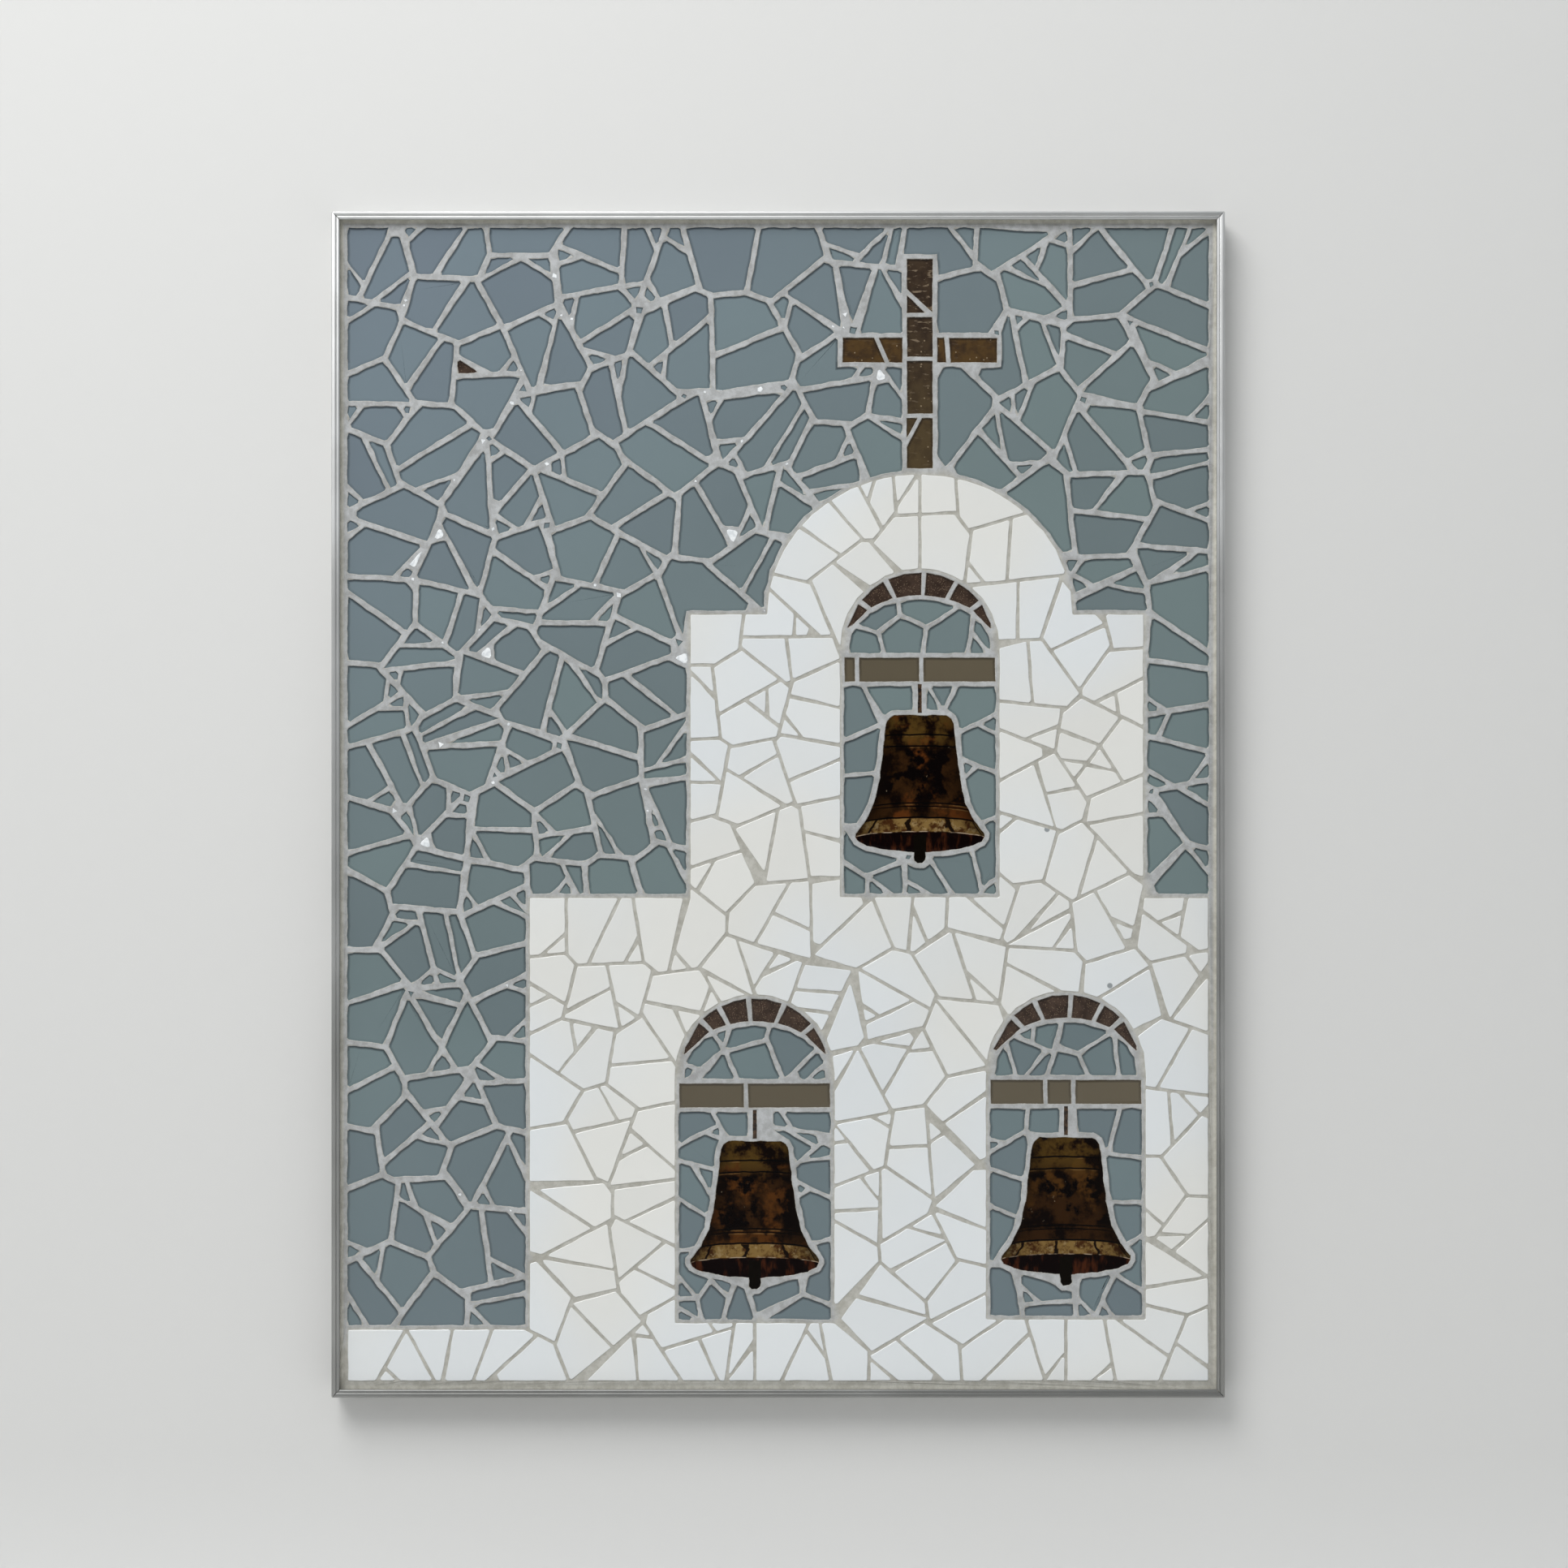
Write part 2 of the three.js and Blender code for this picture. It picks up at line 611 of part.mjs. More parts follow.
// The brown arch is a crescent: a half circle outside, a flatter half ellipse inside
function makeArch({ name, x, crown }, random) {
  const outer = OPENING_HALF - SET_JOINT;
  const inner = outer - TRIM_RISE;
  const spring = crown - OPENING_HALF;
  const innerReach = (angle) =>
    (outer * inner) / Math.hypot(inner * Math.cos(angle), outer * Math.sin(angle));
  const along = (reach) => (angle) =>
    at(x + reach(angle) * Math.cos(angle), spring + reach(angle) * Math.sin(angle));
  const sweep = (180 - 2 * TRIM_START) / TRIM_PIECES;
  const joints = Array.from({ length: TRIM_PIECES + 1 }, (_, i) => {
    const shift = i > 0 && i < TRIM_PIECES ? between([-TRIM_SHIFT, TRIM_SHIFT], random()) : 0;
    return TRIM_START + i * sweep + shift;
  });
  const halfJoint = degrees(TRIM_JOINT / 2 / (outer - TRIM_RISE / 2));
  return joints.slice(1).map((end, i) => {
    const range = [joints[i] + halfJoint, end - halfJoint];
    const thin = i === 0 || i === TRIM_PIECES - 1;
    const angles = (thin ? [0, 1] : [0, 0.5, 1]).map((t) => radians(between(range, t)));
    const outside = angles.map(along(() => outer));
    const inside = angles.toReversed().map(along(innerReach));
    return setPiece(`arch_${name}_${i + 1}`, [...outside, ...inside], FINISH.brown);
  });
}

function makeBeam({ name, x, crown, beamCuts }) {
  const half = OPENING_HALF - SET_JOINT;
  const top = crown - BEAM_DROP;
  const gap = BEAM_JOINT / 2;
  const ends = [-half - gap, ...beamCuts, half + gap];
  return ends.slice(1).map((end, i) => {
    const outline = rectangle(x + ends[i] + gap, x + end - gap, top - BEAM_HEIGHT, top);
    return setPiece(`beam_${name}_${i + 1}`, outline, FINISH.beam);
  });
}

function makeBell(opening) {
  const { name, x, crown } = opening;
  const bottom = crown - BELL_DROP + HANGER_GAPS[0];
  const top = crown - BEAM_DROP - BEAM_HEIGHT - HANGER_GAPS[1];
  const hanger = rectangle(x - HANGER_HALF, x + HANGER_HALF, bottom, top);
  return [
    setPiece(`bell_${name}`, bellOutline(opening), FINISH.bell),
    setPiece(`hanger_${name}`, hanger, FINISH.bell),
  ];
}

// Sky in the head of an opening, between the brown arch and the beam
function lunetteTiles({ x, crown }, paving) {
  const bottom = crown - BEAM_DROP + paving.joint;
  const reach = OPENING_HALF - SET_JOINT - paving.joint;
  const head = arc(x, crown - OPENING_HALF, reach, reach - TRIM_RISE, 0, 180, 12);
  return crazyPaving([at(x - reach, bottom), at(x + reach, bottom), ...head], paving);
}

// Sky below the beam, led round the hanger and the bell
function shaftTiles(opening, paving) {
  const { x, crown } = opening;
  const half = OPENING_HALF - SET_JOINT;
  const bottom = crown - OPENING_HEIGHT + SET_JOINT;
  const top = crown - BEAM_DROP - BEAM_HEIGHT - paving.joint;
  const hanger = HANGER_HALF + paving.joint;
  const bell = inset(bellOutline(opening), -paving.joint);
  const rightSide = bell.slice(0, bell.length / 2).toReversed();
  const leftSide = bell.slice(bell.length / 2).toReversed();
  const outline = [
    at(x - half, bottom),
    at(x + half, bottom),
    at(x + half, top),
    at(x + hanger, top),
    at(x + hanger, rightSide[0].y),
    ...rightSide,
    ...leftSide,
    at(x - hanger, rightSide[0].y),
    at(x - hanger, top),
    at(x - half, top),
  ];
  return crazyPaving(outline, paving);
}

// Each opening is one field of sky, with pockets for its arch, beam, hanger and bell
function makeOpening(opening, index) {
  const lunette = { ...LUNETTE_PAVING, seed: LUNETTE_PAVING.seed + index };
  const shaft = { ...SHAFT_PAVING, seed: SHAFT_PAVING.seed + index };
  const field = mosaicField({
    outline: inset(openingOutline(opening), FIT_GAP / 2),
    pockets: [
      ...makeArch(opening, seededRandom(TRIM_SEED + index)),
      ...makeBeam(opening),
      ...makeBell(opening),
    ],
    tiles: [...lunetteTiles(opening, lunette), ...shaftTiles(opening, shaft)],
  });
  piece(`opening_${opening.name}`, field, FINISH.sky);
}

function makeSky() {
  const edge = SKY_JOINT / 2;
  const field = mosaicField({
    outline: inset(skyOutline(EDGING_WALL + FIT_GAP / 2, gableArc(180, 0, 2 * GABLE_STEPS)), FIT_GAP / 2),
    pockets: makeCross(),
    tiles: crazyPaving(inset(skyOutline(BORDER - edge, gableWithCross()), edge), SKY_PAVING),
  });
  piece('sky', field, FINISH.sky);
}

function makeWall() {
  const edge = WALL_JOINT / 2;
  const field = mosaicField({
    outline: inset(wallOutline(EDGING_WALL + FIT_GAP / 2), FIT_GAP / 2),
    holes: OPENINGS.map((opening) => inset(openingOutline(opening), -FIT_GAP / 2)),
    tiles: crazyPaving(inset(wallPavingOutline(BORDER - edge), edge), WALL_PAVING),
  });
  piece('wall', field, FINISH.wall);
}

makeEdging();
makeBoard();
makeSky();
makeWall();
OPENINGS.forEach(makeOpening);

export default group;
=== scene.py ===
"""The looks of a framed wall mosaic: broken glass and glazed tiles set in grout show a
whitewashed bell gable against the sky, in a satin aluminium edging."""
import math
import random

import bmesh
import bpy
from mathutils import Matrix, Vector, geometry, noise
from mathutils.bvhtree import BVHTree


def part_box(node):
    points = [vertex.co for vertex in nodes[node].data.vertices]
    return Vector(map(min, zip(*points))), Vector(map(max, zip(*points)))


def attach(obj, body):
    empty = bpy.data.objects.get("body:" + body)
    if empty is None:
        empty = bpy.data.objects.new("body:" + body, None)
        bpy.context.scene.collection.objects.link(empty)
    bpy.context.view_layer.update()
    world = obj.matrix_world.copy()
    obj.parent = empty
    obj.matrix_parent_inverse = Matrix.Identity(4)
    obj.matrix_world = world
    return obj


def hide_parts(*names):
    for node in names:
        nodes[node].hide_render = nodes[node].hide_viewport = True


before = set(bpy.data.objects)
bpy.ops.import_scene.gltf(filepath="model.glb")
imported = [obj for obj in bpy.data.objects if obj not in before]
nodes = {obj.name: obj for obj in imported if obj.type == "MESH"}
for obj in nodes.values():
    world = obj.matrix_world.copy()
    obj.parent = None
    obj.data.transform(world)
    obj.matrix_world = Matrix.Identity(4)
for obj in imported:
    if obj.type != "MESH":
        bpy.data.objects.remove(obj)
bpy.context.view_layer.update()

MM = 0.001
MERGE = 0.001 * MM

# Depths, counted from the back of the panel to the front
SETTING_BACK = 12.9 * MM  # where the tiles' backs lie
GROUT_BACK = 12.3 * MM
GLASS_EDGE = 16.85 * MM  # the grout's height beside glass, which lies a little lower
GLASS_FACE = 16.45 * MM
TILE_EDGE = 16.75 * MM
TILE_FACE = 17.0 * MM
WHITE_GROUT = 16.55 * MM  # the grout's height beside white tiles
BORDER_GROUT = 16.3 * MM
GROUT_SAG = 0.12 * MM
GROUT_RELIEF = 0.16 * MM

BED_HALF_WIDTH = 302.7 * MM
BED_HALF_HEIGHT = 402.7 * MM


# ---------------------------------------------------------------- tile outlines

def front_sheet(*names):
    """The front faces of the tiles on some nodes, each one flat face, in a mesh of their own."""
    sheet = bmesh.new()
    for name in names:
        sheet.from_mesh(nodes[name].data)
    bmesh.ops.remove_doubles(sheet, verts=sheet.verts, dist=MERGE)
    front = min(vert.co.y for vert in sheet.verts)
    behind = [face for face in sheet.faces if face.calc_center_median().y > front + 10 * MERGE]
    bmesh.ops.delete(sheet, geom=behind, context="FACES")
    bmesh.ops.dissolve_limit(
        sheet, angle_limit=0.01, verts=sheet.verts, edges=sheet.edges, delimit=set())
    return sheet


def turned(direction, degrees):
    return Matrix.Rotation(math.radians(degrees), 3, "Y") @ direction


def thickness_of(tile):
    """About half of a tile's width: its area over half its outline."""
    return 2 * tile.calc_area() / sum(edge.calc_length() for edge in tile.edges)


def cut_joint(sheet, tile, place, across, width, wedge=0.0):
    """Cuts a joint through a tile, square to a direction and wider at one end by a wedge."""
    parts = [tile]
    for side in (-1, 1):
        normal = turned(across, side * wedge / 2)
        near = dict.fromkeys(parts)
        for part in parts:
            near.update(dict.fromkeys(part.edges))
            near.update(dict.fromkeys(part.verts))
        cut = bmesh.ops.bisect_plane(
            sheet, geom=list(near), dist=MERGE,
            plane_co=place + across * (side * width / 2), plane_no=normal)
        parts = [part for part in cut["geom"] if isinstance(part, bmesh.types.BMFace)]
    strip = [part for part in parts
             if abs((part.calc_center_median() - place).dot(across)) < width / 2]
    bmesh.ops.delete(sheet, geom=strip, context="FACES")
    return [part for part in parts if part.is_valid]


def break_large(sheet, area, joint, wedge, chance):
    """Snaps tiles in two across their length while they are larger than an area."""
    tiles = list(sheet.faces)
    while tiles:
        tile = tiles.pop()
        if tile.calc_area() < area * chance.uniform(0.75, 1.35):
            continue
        centre = tile.calc_center_median_weighted()
        far = max(tile.verts, key=lambda vert: (vert.co - centre).length)
        across = turned((far.co - centre).normalized(), chance.uniform(-25, 25))
        place = centre + across * chance.uniform(-4, 4) * MM
        tiles += cut_joint(sheet, tile, place, across, joint, chance.uniform(-wedge, wedge))


def snap_corners(sheet, share, reach, joint, chance):
    """Snaps the corner off a share of the tiles and leaves it in its place as a small chip."""
    for tile in list(sheet.faces):
        corner = chance.choice(list(tile.loops))
        if chance.random() > share or thickness_of(tile) < reach[0]:
            continue
        before = (corner.link_loop_prev.vert.co - corner.vert.co).normalized()
        after = (corner.link_loop_next.vert.co - corner.vert.co).normalized()
        inward = before + after
        if corner.calc_angle() > math.radians(115) or inward.length < 0.3:
            continue
        inward = turned(inward.normalized(), chance.uniform(-18, 18))
        place = corner.vert.co + inward * chance.uniform(*reach)
        cut_joint(sheet, tile, place, inward, joint, chance.uniform(-5, 5))


def shave_sides(sheet, share, reach, joint, chance):
    """Parts a narrow sliver from one side of a share of the tiles."""
    for tile in list(sheet.faces):
        side = chance.choice(list(tile.edges))
        if chance.random() > share or thickness_of(tile) < 1.6 * reach[1]:
            continue
        along = (side.verts[1].co - side.verts[0].co).normalized()
        middle = (side.verts[1].co + side.verts[0].co) / 2
        inward = turned(along, 90)
        if inward.dot(tile.calc_center_median() - middle) < 0:
            inward = -inward
        place = middle + inward * chance.uniform(*reach)
        inward = turned(inward, chance.uniform(-9, 9))
        cut_joint(sheet, tile, place, inward, joint, chance.uniform(-4, 4))


def snap_slivers(sheet, slenderness, joint, chance):
    """Snaps tiles that are too long for their width."""
    for tile in list(sheet.faces):
        centre = tile.calc_center_median_weighted()
        far = max(tile.verts, key=lambda vert: (vert.co - centre).length)
        reach = far.co - centre
        if reach.length < slenderness * thickness_of(tile):
            continue
        across = turned(reach.normalized(), chance.uniform(-20, 20))
        place = centre + across * chance.uniform(-2, 2) * MM
        cut_joint(sheet, tile, place, across, joint, chance.uniform(-4, 4))


def drop_crumbs(sheet, smallest):
    """Takes away what is too thin to have been laid."""
    crumbs = [tile for tile in sheet.faces if thickness_of(tile) < smallest]
    bmesh.ops.delete(sheet, geom=crumbs, context="FACES")


def blunt_corners(sheet, amount):
    """Rounds the corners of every outline off, the sharp ones most."""
    by_size = {}
    for corner in [loop for tile in sheet.faces for loop in tile.loops]:
        angle = math.degrees(corner.calc_angle())
        if angle < 160:
            size = amount * (3.2 if angle < 45 else 1.8 if angle < 80 else 1)
            room = min(edge.calc_length() for edge in corner.vert.link_edges) * 0.4
            steps = int(min(size, room) / (0.3 * MM))
            by_size.setdefault(steps, []).append(corner.vert)
    for steps, verts in sorted(by_size.items()):
        if steps:
            bmesh.ops.bevel(
                sheet, geom=verts, offset=steps * 0.3 * MM, segments=2, profile=0.5,
                affect="VERTICES", material=-1, clamp_overlap=False)
    merge_close(sheet, sheet.verts, 0.5 * MM)


def merge_close(mesh, verts, distance):
    bmesh.ops.remove_doubles(mesh, verts=list(verts), dist=distance)


def grow(sheet, width):
    """Widens every outline, so that the joints between them grow narrower."""
    rings = bmesh.ops.inset_individual(
        sheet, faces=list(sheet.faces), thickness=-width, use_even_offset=True)["faces"]
    bmesh.ops.delete(sheet, geom=rings, context="FACES")
    merge_close(sheet, sheet.verts, 0.5 * MM)


def take_small(sheet, largest, share, where, chance):
    """Moves a share of the small chips to a sheet of their own, for another kind of glass."""
    sheet.faces.index_update()
    taken = {tile.index for tile in sheet.faces
             if tile.calc_area() < largest and where(tile.calc_center_median())
             and chance.random() < share}
    other = sheet.copy()
    for mesh, keep in ((sheet, False), (other, True)):
        left = [tile for tile in mesh.faces if (tile.index in taken) != keep]
        bmesh.ops.delete(mesh, geom=left, context="FACES")
    return other


def small_tile_near(sheet, place):
    """The middle of the small chip that lies nearest to a place."""
    middles = [tile.calc_center_median() for tile in sheet.faces
               if 30 * MM * MM < tile.calc_area() < 90 * MM * MM]
    return min(middles, key=lambda middle: (middle - place).length)


def roughen(sheet, step, amount, chance):
    """Gives every outline points along its sides and moves them a little off the straight."""
    by_cuts = {}
    for edge in sheet.edges:
        by_cuts.setdefault(int(edge.calc_length() / step), []).append(edge)
    for cuts, edges in sorted(by_cuts.items()):
        if cuts:
            bmesh.ops.bisect_edges(sheet, edges=edges, cuts=cuts)
    for vert in sheet.verts:
        most = min(amount, 0.2 * min(edge.calc_length() for edge in vert.link_edges))
        vert.co.x += chance.uniform(-most, most)
        vert.co.z += chance.uniform(-most, most)


def wide_gaps(target, others, room, least, tries, chance, beside=None):
    """Finds the widest spots of the joints beside one kind of tile: their radii and middles."""
    corners, tiles, kinds = [], [], []
    for sheet in (target, *others):
        for tile in sheet.faces:
            tiles.append(list(range(len(corners), len(corners) + len(tile.verts))))
            corners += [vert.co for vert in tile.verts]
            kinds.append(sheet)
    tree = BVHTree.FromPolygons(corners, tiles)
    plane = corners[0].y
    spots = []
    for _ in range(tries):
        point = Vector((chance.uniform(-BED_HALF_WIDTH, BED_HALF_WIDTH), plane,
                        chance.uniform(-BED_HALF_HEIGHT, BED_HALF_HEIGHT)))
        _, _, index, distance = tree.find_nearest(point)
        edge = min(BED_HALF_WIDTH - abs(point.x), BED_HALF_HEIGHT - abs(point.z)) - 8 * MM
        radius = min(distance, edge) - room
        if kinds[index] is (beside or target) and radius > least:
            spots.append((radius, point))
    apart = []
    for radius, point in sorted(spots, key=lambda spot: -spot[0]):
        if all((point - other).length > radius + far + room for far, other in apart):
            apart.append((radius, point))
    return apart


def lay_chips(sheet, gaps, chance):
    for radius, point in gaps:
        lay_chip(sheet, point, radius, chance)


def lay_chip(sheet, point, radius, chance):
    """A small broken chip of four to six sides."""
    place = Matrix.Translation(point) @ Matrix.Rotation(math.radians(90), 4, "X")
    place = place @ Matrix.Rotation(chance.uniform(0, 6), 4, "Z")
    circle = bmesh.ops.create_circle(
        sheet, cap_ends=True, segments=chance.choice((3, 4, 4, 5)), radius=radius * 1.25,
        matrix=place)
    for vert in circle["verts"]:
        vert.co = point + (vert.co - point) * chance.uniform(0.7, 1.0)


# ---------------------------------------------------------------- tiles

def mesh_object(name, mesh, material, replaced=()):
    """Ends a bmesh as a piece of the object, with its material and its place in the table."""
    data = bpy.data.meshes.new(name)
    mesh.to_mesh(data)
    mesh.free()
    data.materials.append(material)
    piece = bpy.data.objects.new(name, data)
    bpy.context.scene.collection.objects.link(piece)
    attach(piece, "root")
    if replaced:
        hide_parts(*replaced)
    return piece


def inset_by_size(mesh, tiles, width, full_size):
    """Insets every tile at once, by less where a tile is small."""
    groups = {}
    for tile in tiles:
        share = min(4, max(1, round(4 * thickness_of(tile) / full_size)))
        groups.setdefault(share, []).append(tile)
    rings = []
    for share, group in sorted(groups.items()):
        inset = bmesh.ops.inset_individual(
            mesh, faces=group, thickness=width * share / 4, use_even_offset=True)
        rings += inset["faces"]
        for tile in group:
            keep_inside(tile, width * share / 4)
    return rings


def keep_inside(tile, width):
    """Draws points back that an inset has carried too near to another side, in a sharp tip."""
    inner = list(tile.verts)
    own = set(inner)
    outline = [next(edge.other_vert(vert) for edge in vert.link_edges
                    if edge.other_vert(vert) not in own).co for vert in inner]
    sides = list(zip(outline, outline[1:] + outline[:1]))
    crossed = []
    for place, vert in enumerate(inner):
        others = sides[:place - 1] + sides[place + 1:] if place else sides[1:-1]
        if any(distance_to(vert.co, *side) < width * 0.85 for side in others):
            crossed.append((vert, outline[place]))
    for vert, source in crossed:
        vert.co = source.lerp(vert.co, 0.3)


def distance_to(point, start, end):
    nearest, share = geometry.intersect_point_line(point, start, end)
    if share < 0:
        nearest = start
    elif share > 1:
        nearest = end
    return (point - nearest).length


def set_depth(verts, depth):
    for vert in verts:
        vert.co.y = -depth


def close_behind(mesh, depth):
    """Gives every tile its sides and its back."""
    rims = [edge for edge in mesh.edges if edge.is_boundary]
    sides = bmesh.ops.extrude_edge_only(mesh, edges=rims)["geom"]
    set_depth([item for item in sides if isinstance(item, bmesh.types.BMVert)], depth)
    backs = [item for item in sides if isinstance(item, bmesh.types.BMEdge)]
    bmesh.ops.holes_fill(mesh, edges=backs, sides=0)
    bmesh.ops.recalc_face_normals(mesh, faces=mesh.faces)


def tile_bodies(sheet, edge_depth, face_depth, lip, rim, tilt, chance):
    """Makes flat outlines into tiles. The point attribute edge falls from 2 at the outline over
    the lip to 1, and over the rim to 0. The face attribute shade says how much the grout
    above a rim shades it, and tone is a random value for each tile."""
    mesh = sheet.copy()
    edge = mesh.verts.layers.float.new("edge")
    tone = mesh.faces.layers.float.new("tone")
    shade = mesh.faces.layers.float.new("shade")
    inner = mesh.faces.layers.int.new("inner")
    tiles = list(mesh.faces)
    for tile in tiles:
        tile[tone] = chance.random()
        tile[inner] = 1
    for vert in mesh.verts:
        vert[edge] = 2
    set_depth(mesh.verts, edge_depth)
    for ring in inset_by_size(mesh, tiles, lip, 4 * MM):
        ring[inner] = 0
    for tile in tiles:
        set_depth(tile.verts, face_depth)
        for vert in tile.verts:
            vert[edge] = 1
    if rim:
        merge_close(mesh, {vert for tile in tiles for vert in tile.verts}, 1.6 * MM)
        tiles = [face for face in mesh.faces if face[inner]]
        rings = inset_by_size(mesh, tiles, rim, 5 * MM)
        for tile in tiles:
            for vert in tile.verts:
                vert[edge] = 0
        for ring in rings:
            ring[shade] = rim_shade(ring, edge)
    tilt_faces(mesh, tiles, tilt, chance)
    close_behind(mesh, SETTING_BACK)
    return mesh


def rim_shade(ring, edge):
    """Strong under the grout above a tile, less at its sides and next to nothing below."""
    outward = Vector()
    for vert in ring.verts:
        outward += vert.co if vert[edge] > 0.5 else -vert.co
    return min(1.0, max(0.0, 0.6 + 0.5 * outward.normalized().z))


def tilt_faces(mesh, tiles, degrees, chance):
    """No two tiles lie quite level."""
    for tile in tiles:
        axis = turned(Vector((1, 0, 0)), chance.uniform(0, 360))
        turn = Matrix.Rotation(math.radians(chance.uniform(-degrees, degrees)), 3, axis)
        centre = tile.calc_center_median()
        for vert in tile.verts:
            vert.co.y = centre.y + (turn @ (vert.co - centre)).y


# ---------------------------------------------------------------- grout

def grout_mass(glass_sheets, white_sheets):
    """One mass of grout, with a hole for every tile, that dips and swells between them."""
    mass = bmesh.new()
    cool = mass.verts.layers.float.new("cool")
    for sheets, height, coolness in ((glass_sheets, GLASS_EDGE, 1), (white_sheets, WHITE_GROUT, 0)):
        for sheet in sheets:
            data = bpy.data.meshes.new("outlines")
            sheet.to_mesh(data)
            first = len(mass.verts)
            mass.from_mesh(data)
            bpy.data.meshes.remove(data)
            mass.verts.ensure_lookup_table()
            set_depth(mass.verts[first:], height)
            for vert in mass.verts[first:]:
                vert[cool] = coolness
    tiles = BVHTree.FromBMesh(mass)
    bmesh.ops.delete(mass, geom=list(mass.faces), context="FACES_ONLY")
    bmesh.ops.create_grid(
        mass, x_segments=1, y_segments=1, size=1,
        matrix=Matrix.Translation((0, -BORDER_GROUT, 0)) @ Matrix.Rotation(math.radians(90), 4, "X")
        @ Matrix.Diagonal((BED_HALF_WIDTH, BED_HALF_HEIGHT, 1, 1)))
    bmesh.ops.delete(mass, geom=list(mass.faces), context="FACES_ONLY")
    fill_flat(mass)
    covered = [face for face in mass.faces if lies_under(face, tiles)]
    bmesh.ops.delete(mass, geom=covered, context="FACES")
    front = bmesh.ops.extrude_face_region(mass, geom=list(mass.faces))["geom"]
    raised = [item for item in front if isinstance(item, bmesh.types.BMVert)]
    kept = set(raised)
    set_depth([vert for vert in mass.verts if vert not in kept], GROUT_BACK)
    swell(mass, [item for item in front if isinstance(item, bmesh.types.BMFace)])
    bmesh.ops.recalc_face_normals(mass, faces=mass.faces)
    return mass


def fill_flat(mass):
    """Fills between all the outlines. Blender's own fill operator stops half way through this
    many, so its triangulation does it, in millimetres."""
    mass.verts.ensure_lookup_table()
    mass.verts.index_update()
    points = [vert.co.xz / MM for vert in mass.verts]
    outlines = [[vert.index for vert in edge.verts] for edge in mass.edges]
    _, _, triangles, sources, _, _ = geometry.delaunay_2d_cdt(points, outlines, [], 0, 1e-5, True)
    for triangle in triangles:
        mass.faces.new([mass.verts[sources[corner][0]] for corner in triangle])


def lies_under(face, tiles):
    centre = face.calc_center_median()
    return tiles.ray_cast(centre + Vector((0, -1, 0)), Vector((0, 1, 0)))[0] is not None


def swell(mass, front):
    """Gives the joints points along their middles, moved up or down by a smooth noise."""
    faces = set(front)
    across = [edge for edge in mass.edges
              if len(edge.link_faces) == 2 and all(face in faces for face in edge.link_faces)]
    cut = bmesh.ops.subdivide_edges(mass, edges=across, cuts=1, use_grid_fill=False)
    for vert in [item for item in cut["geom_inner"] if isinstance(item, bmesh.types.BMVert)]:
        lift = noise.noise(vert.co / (4 * MM)) + 0.6 * noise.noise(vert.co / (1.5 * MM))
        vert.co.y -= GROUT_RELIEF * lift - GROUT_SAG
    for face in mass.faces:
        face.smooth = True
    for edge in mass.edges:
        edge.smooth = len(edge.link_faces) == 2 and edge.calc_face_angle(0) < math.radians(40)


# ---------------------------------------------------------------- material parts

def add(tree, kind, inputs=None, **settings):
    """Adds a shader node. A value in inputs is a number, a colour or the socket it comes from."""
    node = tree.nodes.new("ShaderNode" + kind)
    for name, value in settings.items():
        setattr(node, name, value)
    for name, value in (inputs or {}).items():
        if isinstance(value, bpy.types.NodeSocket):
            tree.links.new(value, node.inputs[name])
        else:
            node.inputs[name].default_value = value
    return node


def maths(tree, operation, *values, clamp=False):
    return add(tree, "Math", dict(enumerate(values)), operation=operation, use_clamp=clamp).outputs[0]


def between(tree, value, low, high, to_low=0.0, to_high=1.0):
    """Maps a value from one range to another, smoothly."""
    inputs = {"Value": value, "From Min": low, "From Max": high, "To Min": to_low, "To Max": to_high}
    return add(tree, "MapRange", inputs, interpolation_type="SMOOTHSTEP").outputs[0]


def mixed(tree, share, first, second, blend="MIX"):
    inputs = {0: share, 6: first, 7: second}
    return add(tree, "Mix", inputs, data_type="RGBA", blend_type=blend).outputs[2]


def place_of(tree):
    return add(tree, "TexCoord").outputs["Object"]


def cloud(tree, scale, detail=2.0, roughness=0.5, vector=None):
    """A noise between 0 and 1. The scale is in patches per metre."""
    inputs = {"Vector": vector or place_of(tree), "Scale": scale, "Detail": detail,
              "Roughness": roughness}
    return add(tree, "TexNoise", inputs).outputs[0]


def stretched(tree, scale):
    """The object's place, drawn out along one axis for streaks."""
    return add(tree, "Mapping", {"Vector": place_of(tree), "Scale": scale}).outputs[0]


def attribute(tree, name):
    return add(tree, "Attribute", attribute_name=name).outputs["Fac"]


def colour(red, green, blue):
    return (red, green, blue, 1.0)


def new_group(name, inputs, outputs):
    group = bpy.data.node_groups.new(name, "ShaderNodeTree")
    for socket, value in inputs.items():
        kind = "NodeSocketColor" if isinstance(value, tuple) else "NodeSocketFloat"
        made = group.interface.new_socket(socket, in_out="INPUT", socket_type=kind)
        made.default_value = value
    for socket, kind in outputs.items():
        group.interface.new_socket(socket, in_out="OUTPUT", socket_type="NodeSocket" + kind)
    return group, group.nodes.new("NodeGroupInput"), group.nodes.new("NodeGroupOutput")


def place_group(tree, group, **inputs):
    """Puts a shared effect into a material. An underscore in an input's name is a space."""
    node = tree.nodes.new("ShaderNodeGroup")
    node.node_tree = group
    for name, value in inputs.items():
        socket = node.inputs[name.replace("_", " ")]
        if isinstance(value, bpy.types.NodeSocket):
            tree.links.new(value, socket)
        else:
            socket.default_value = value
    return node.outputs


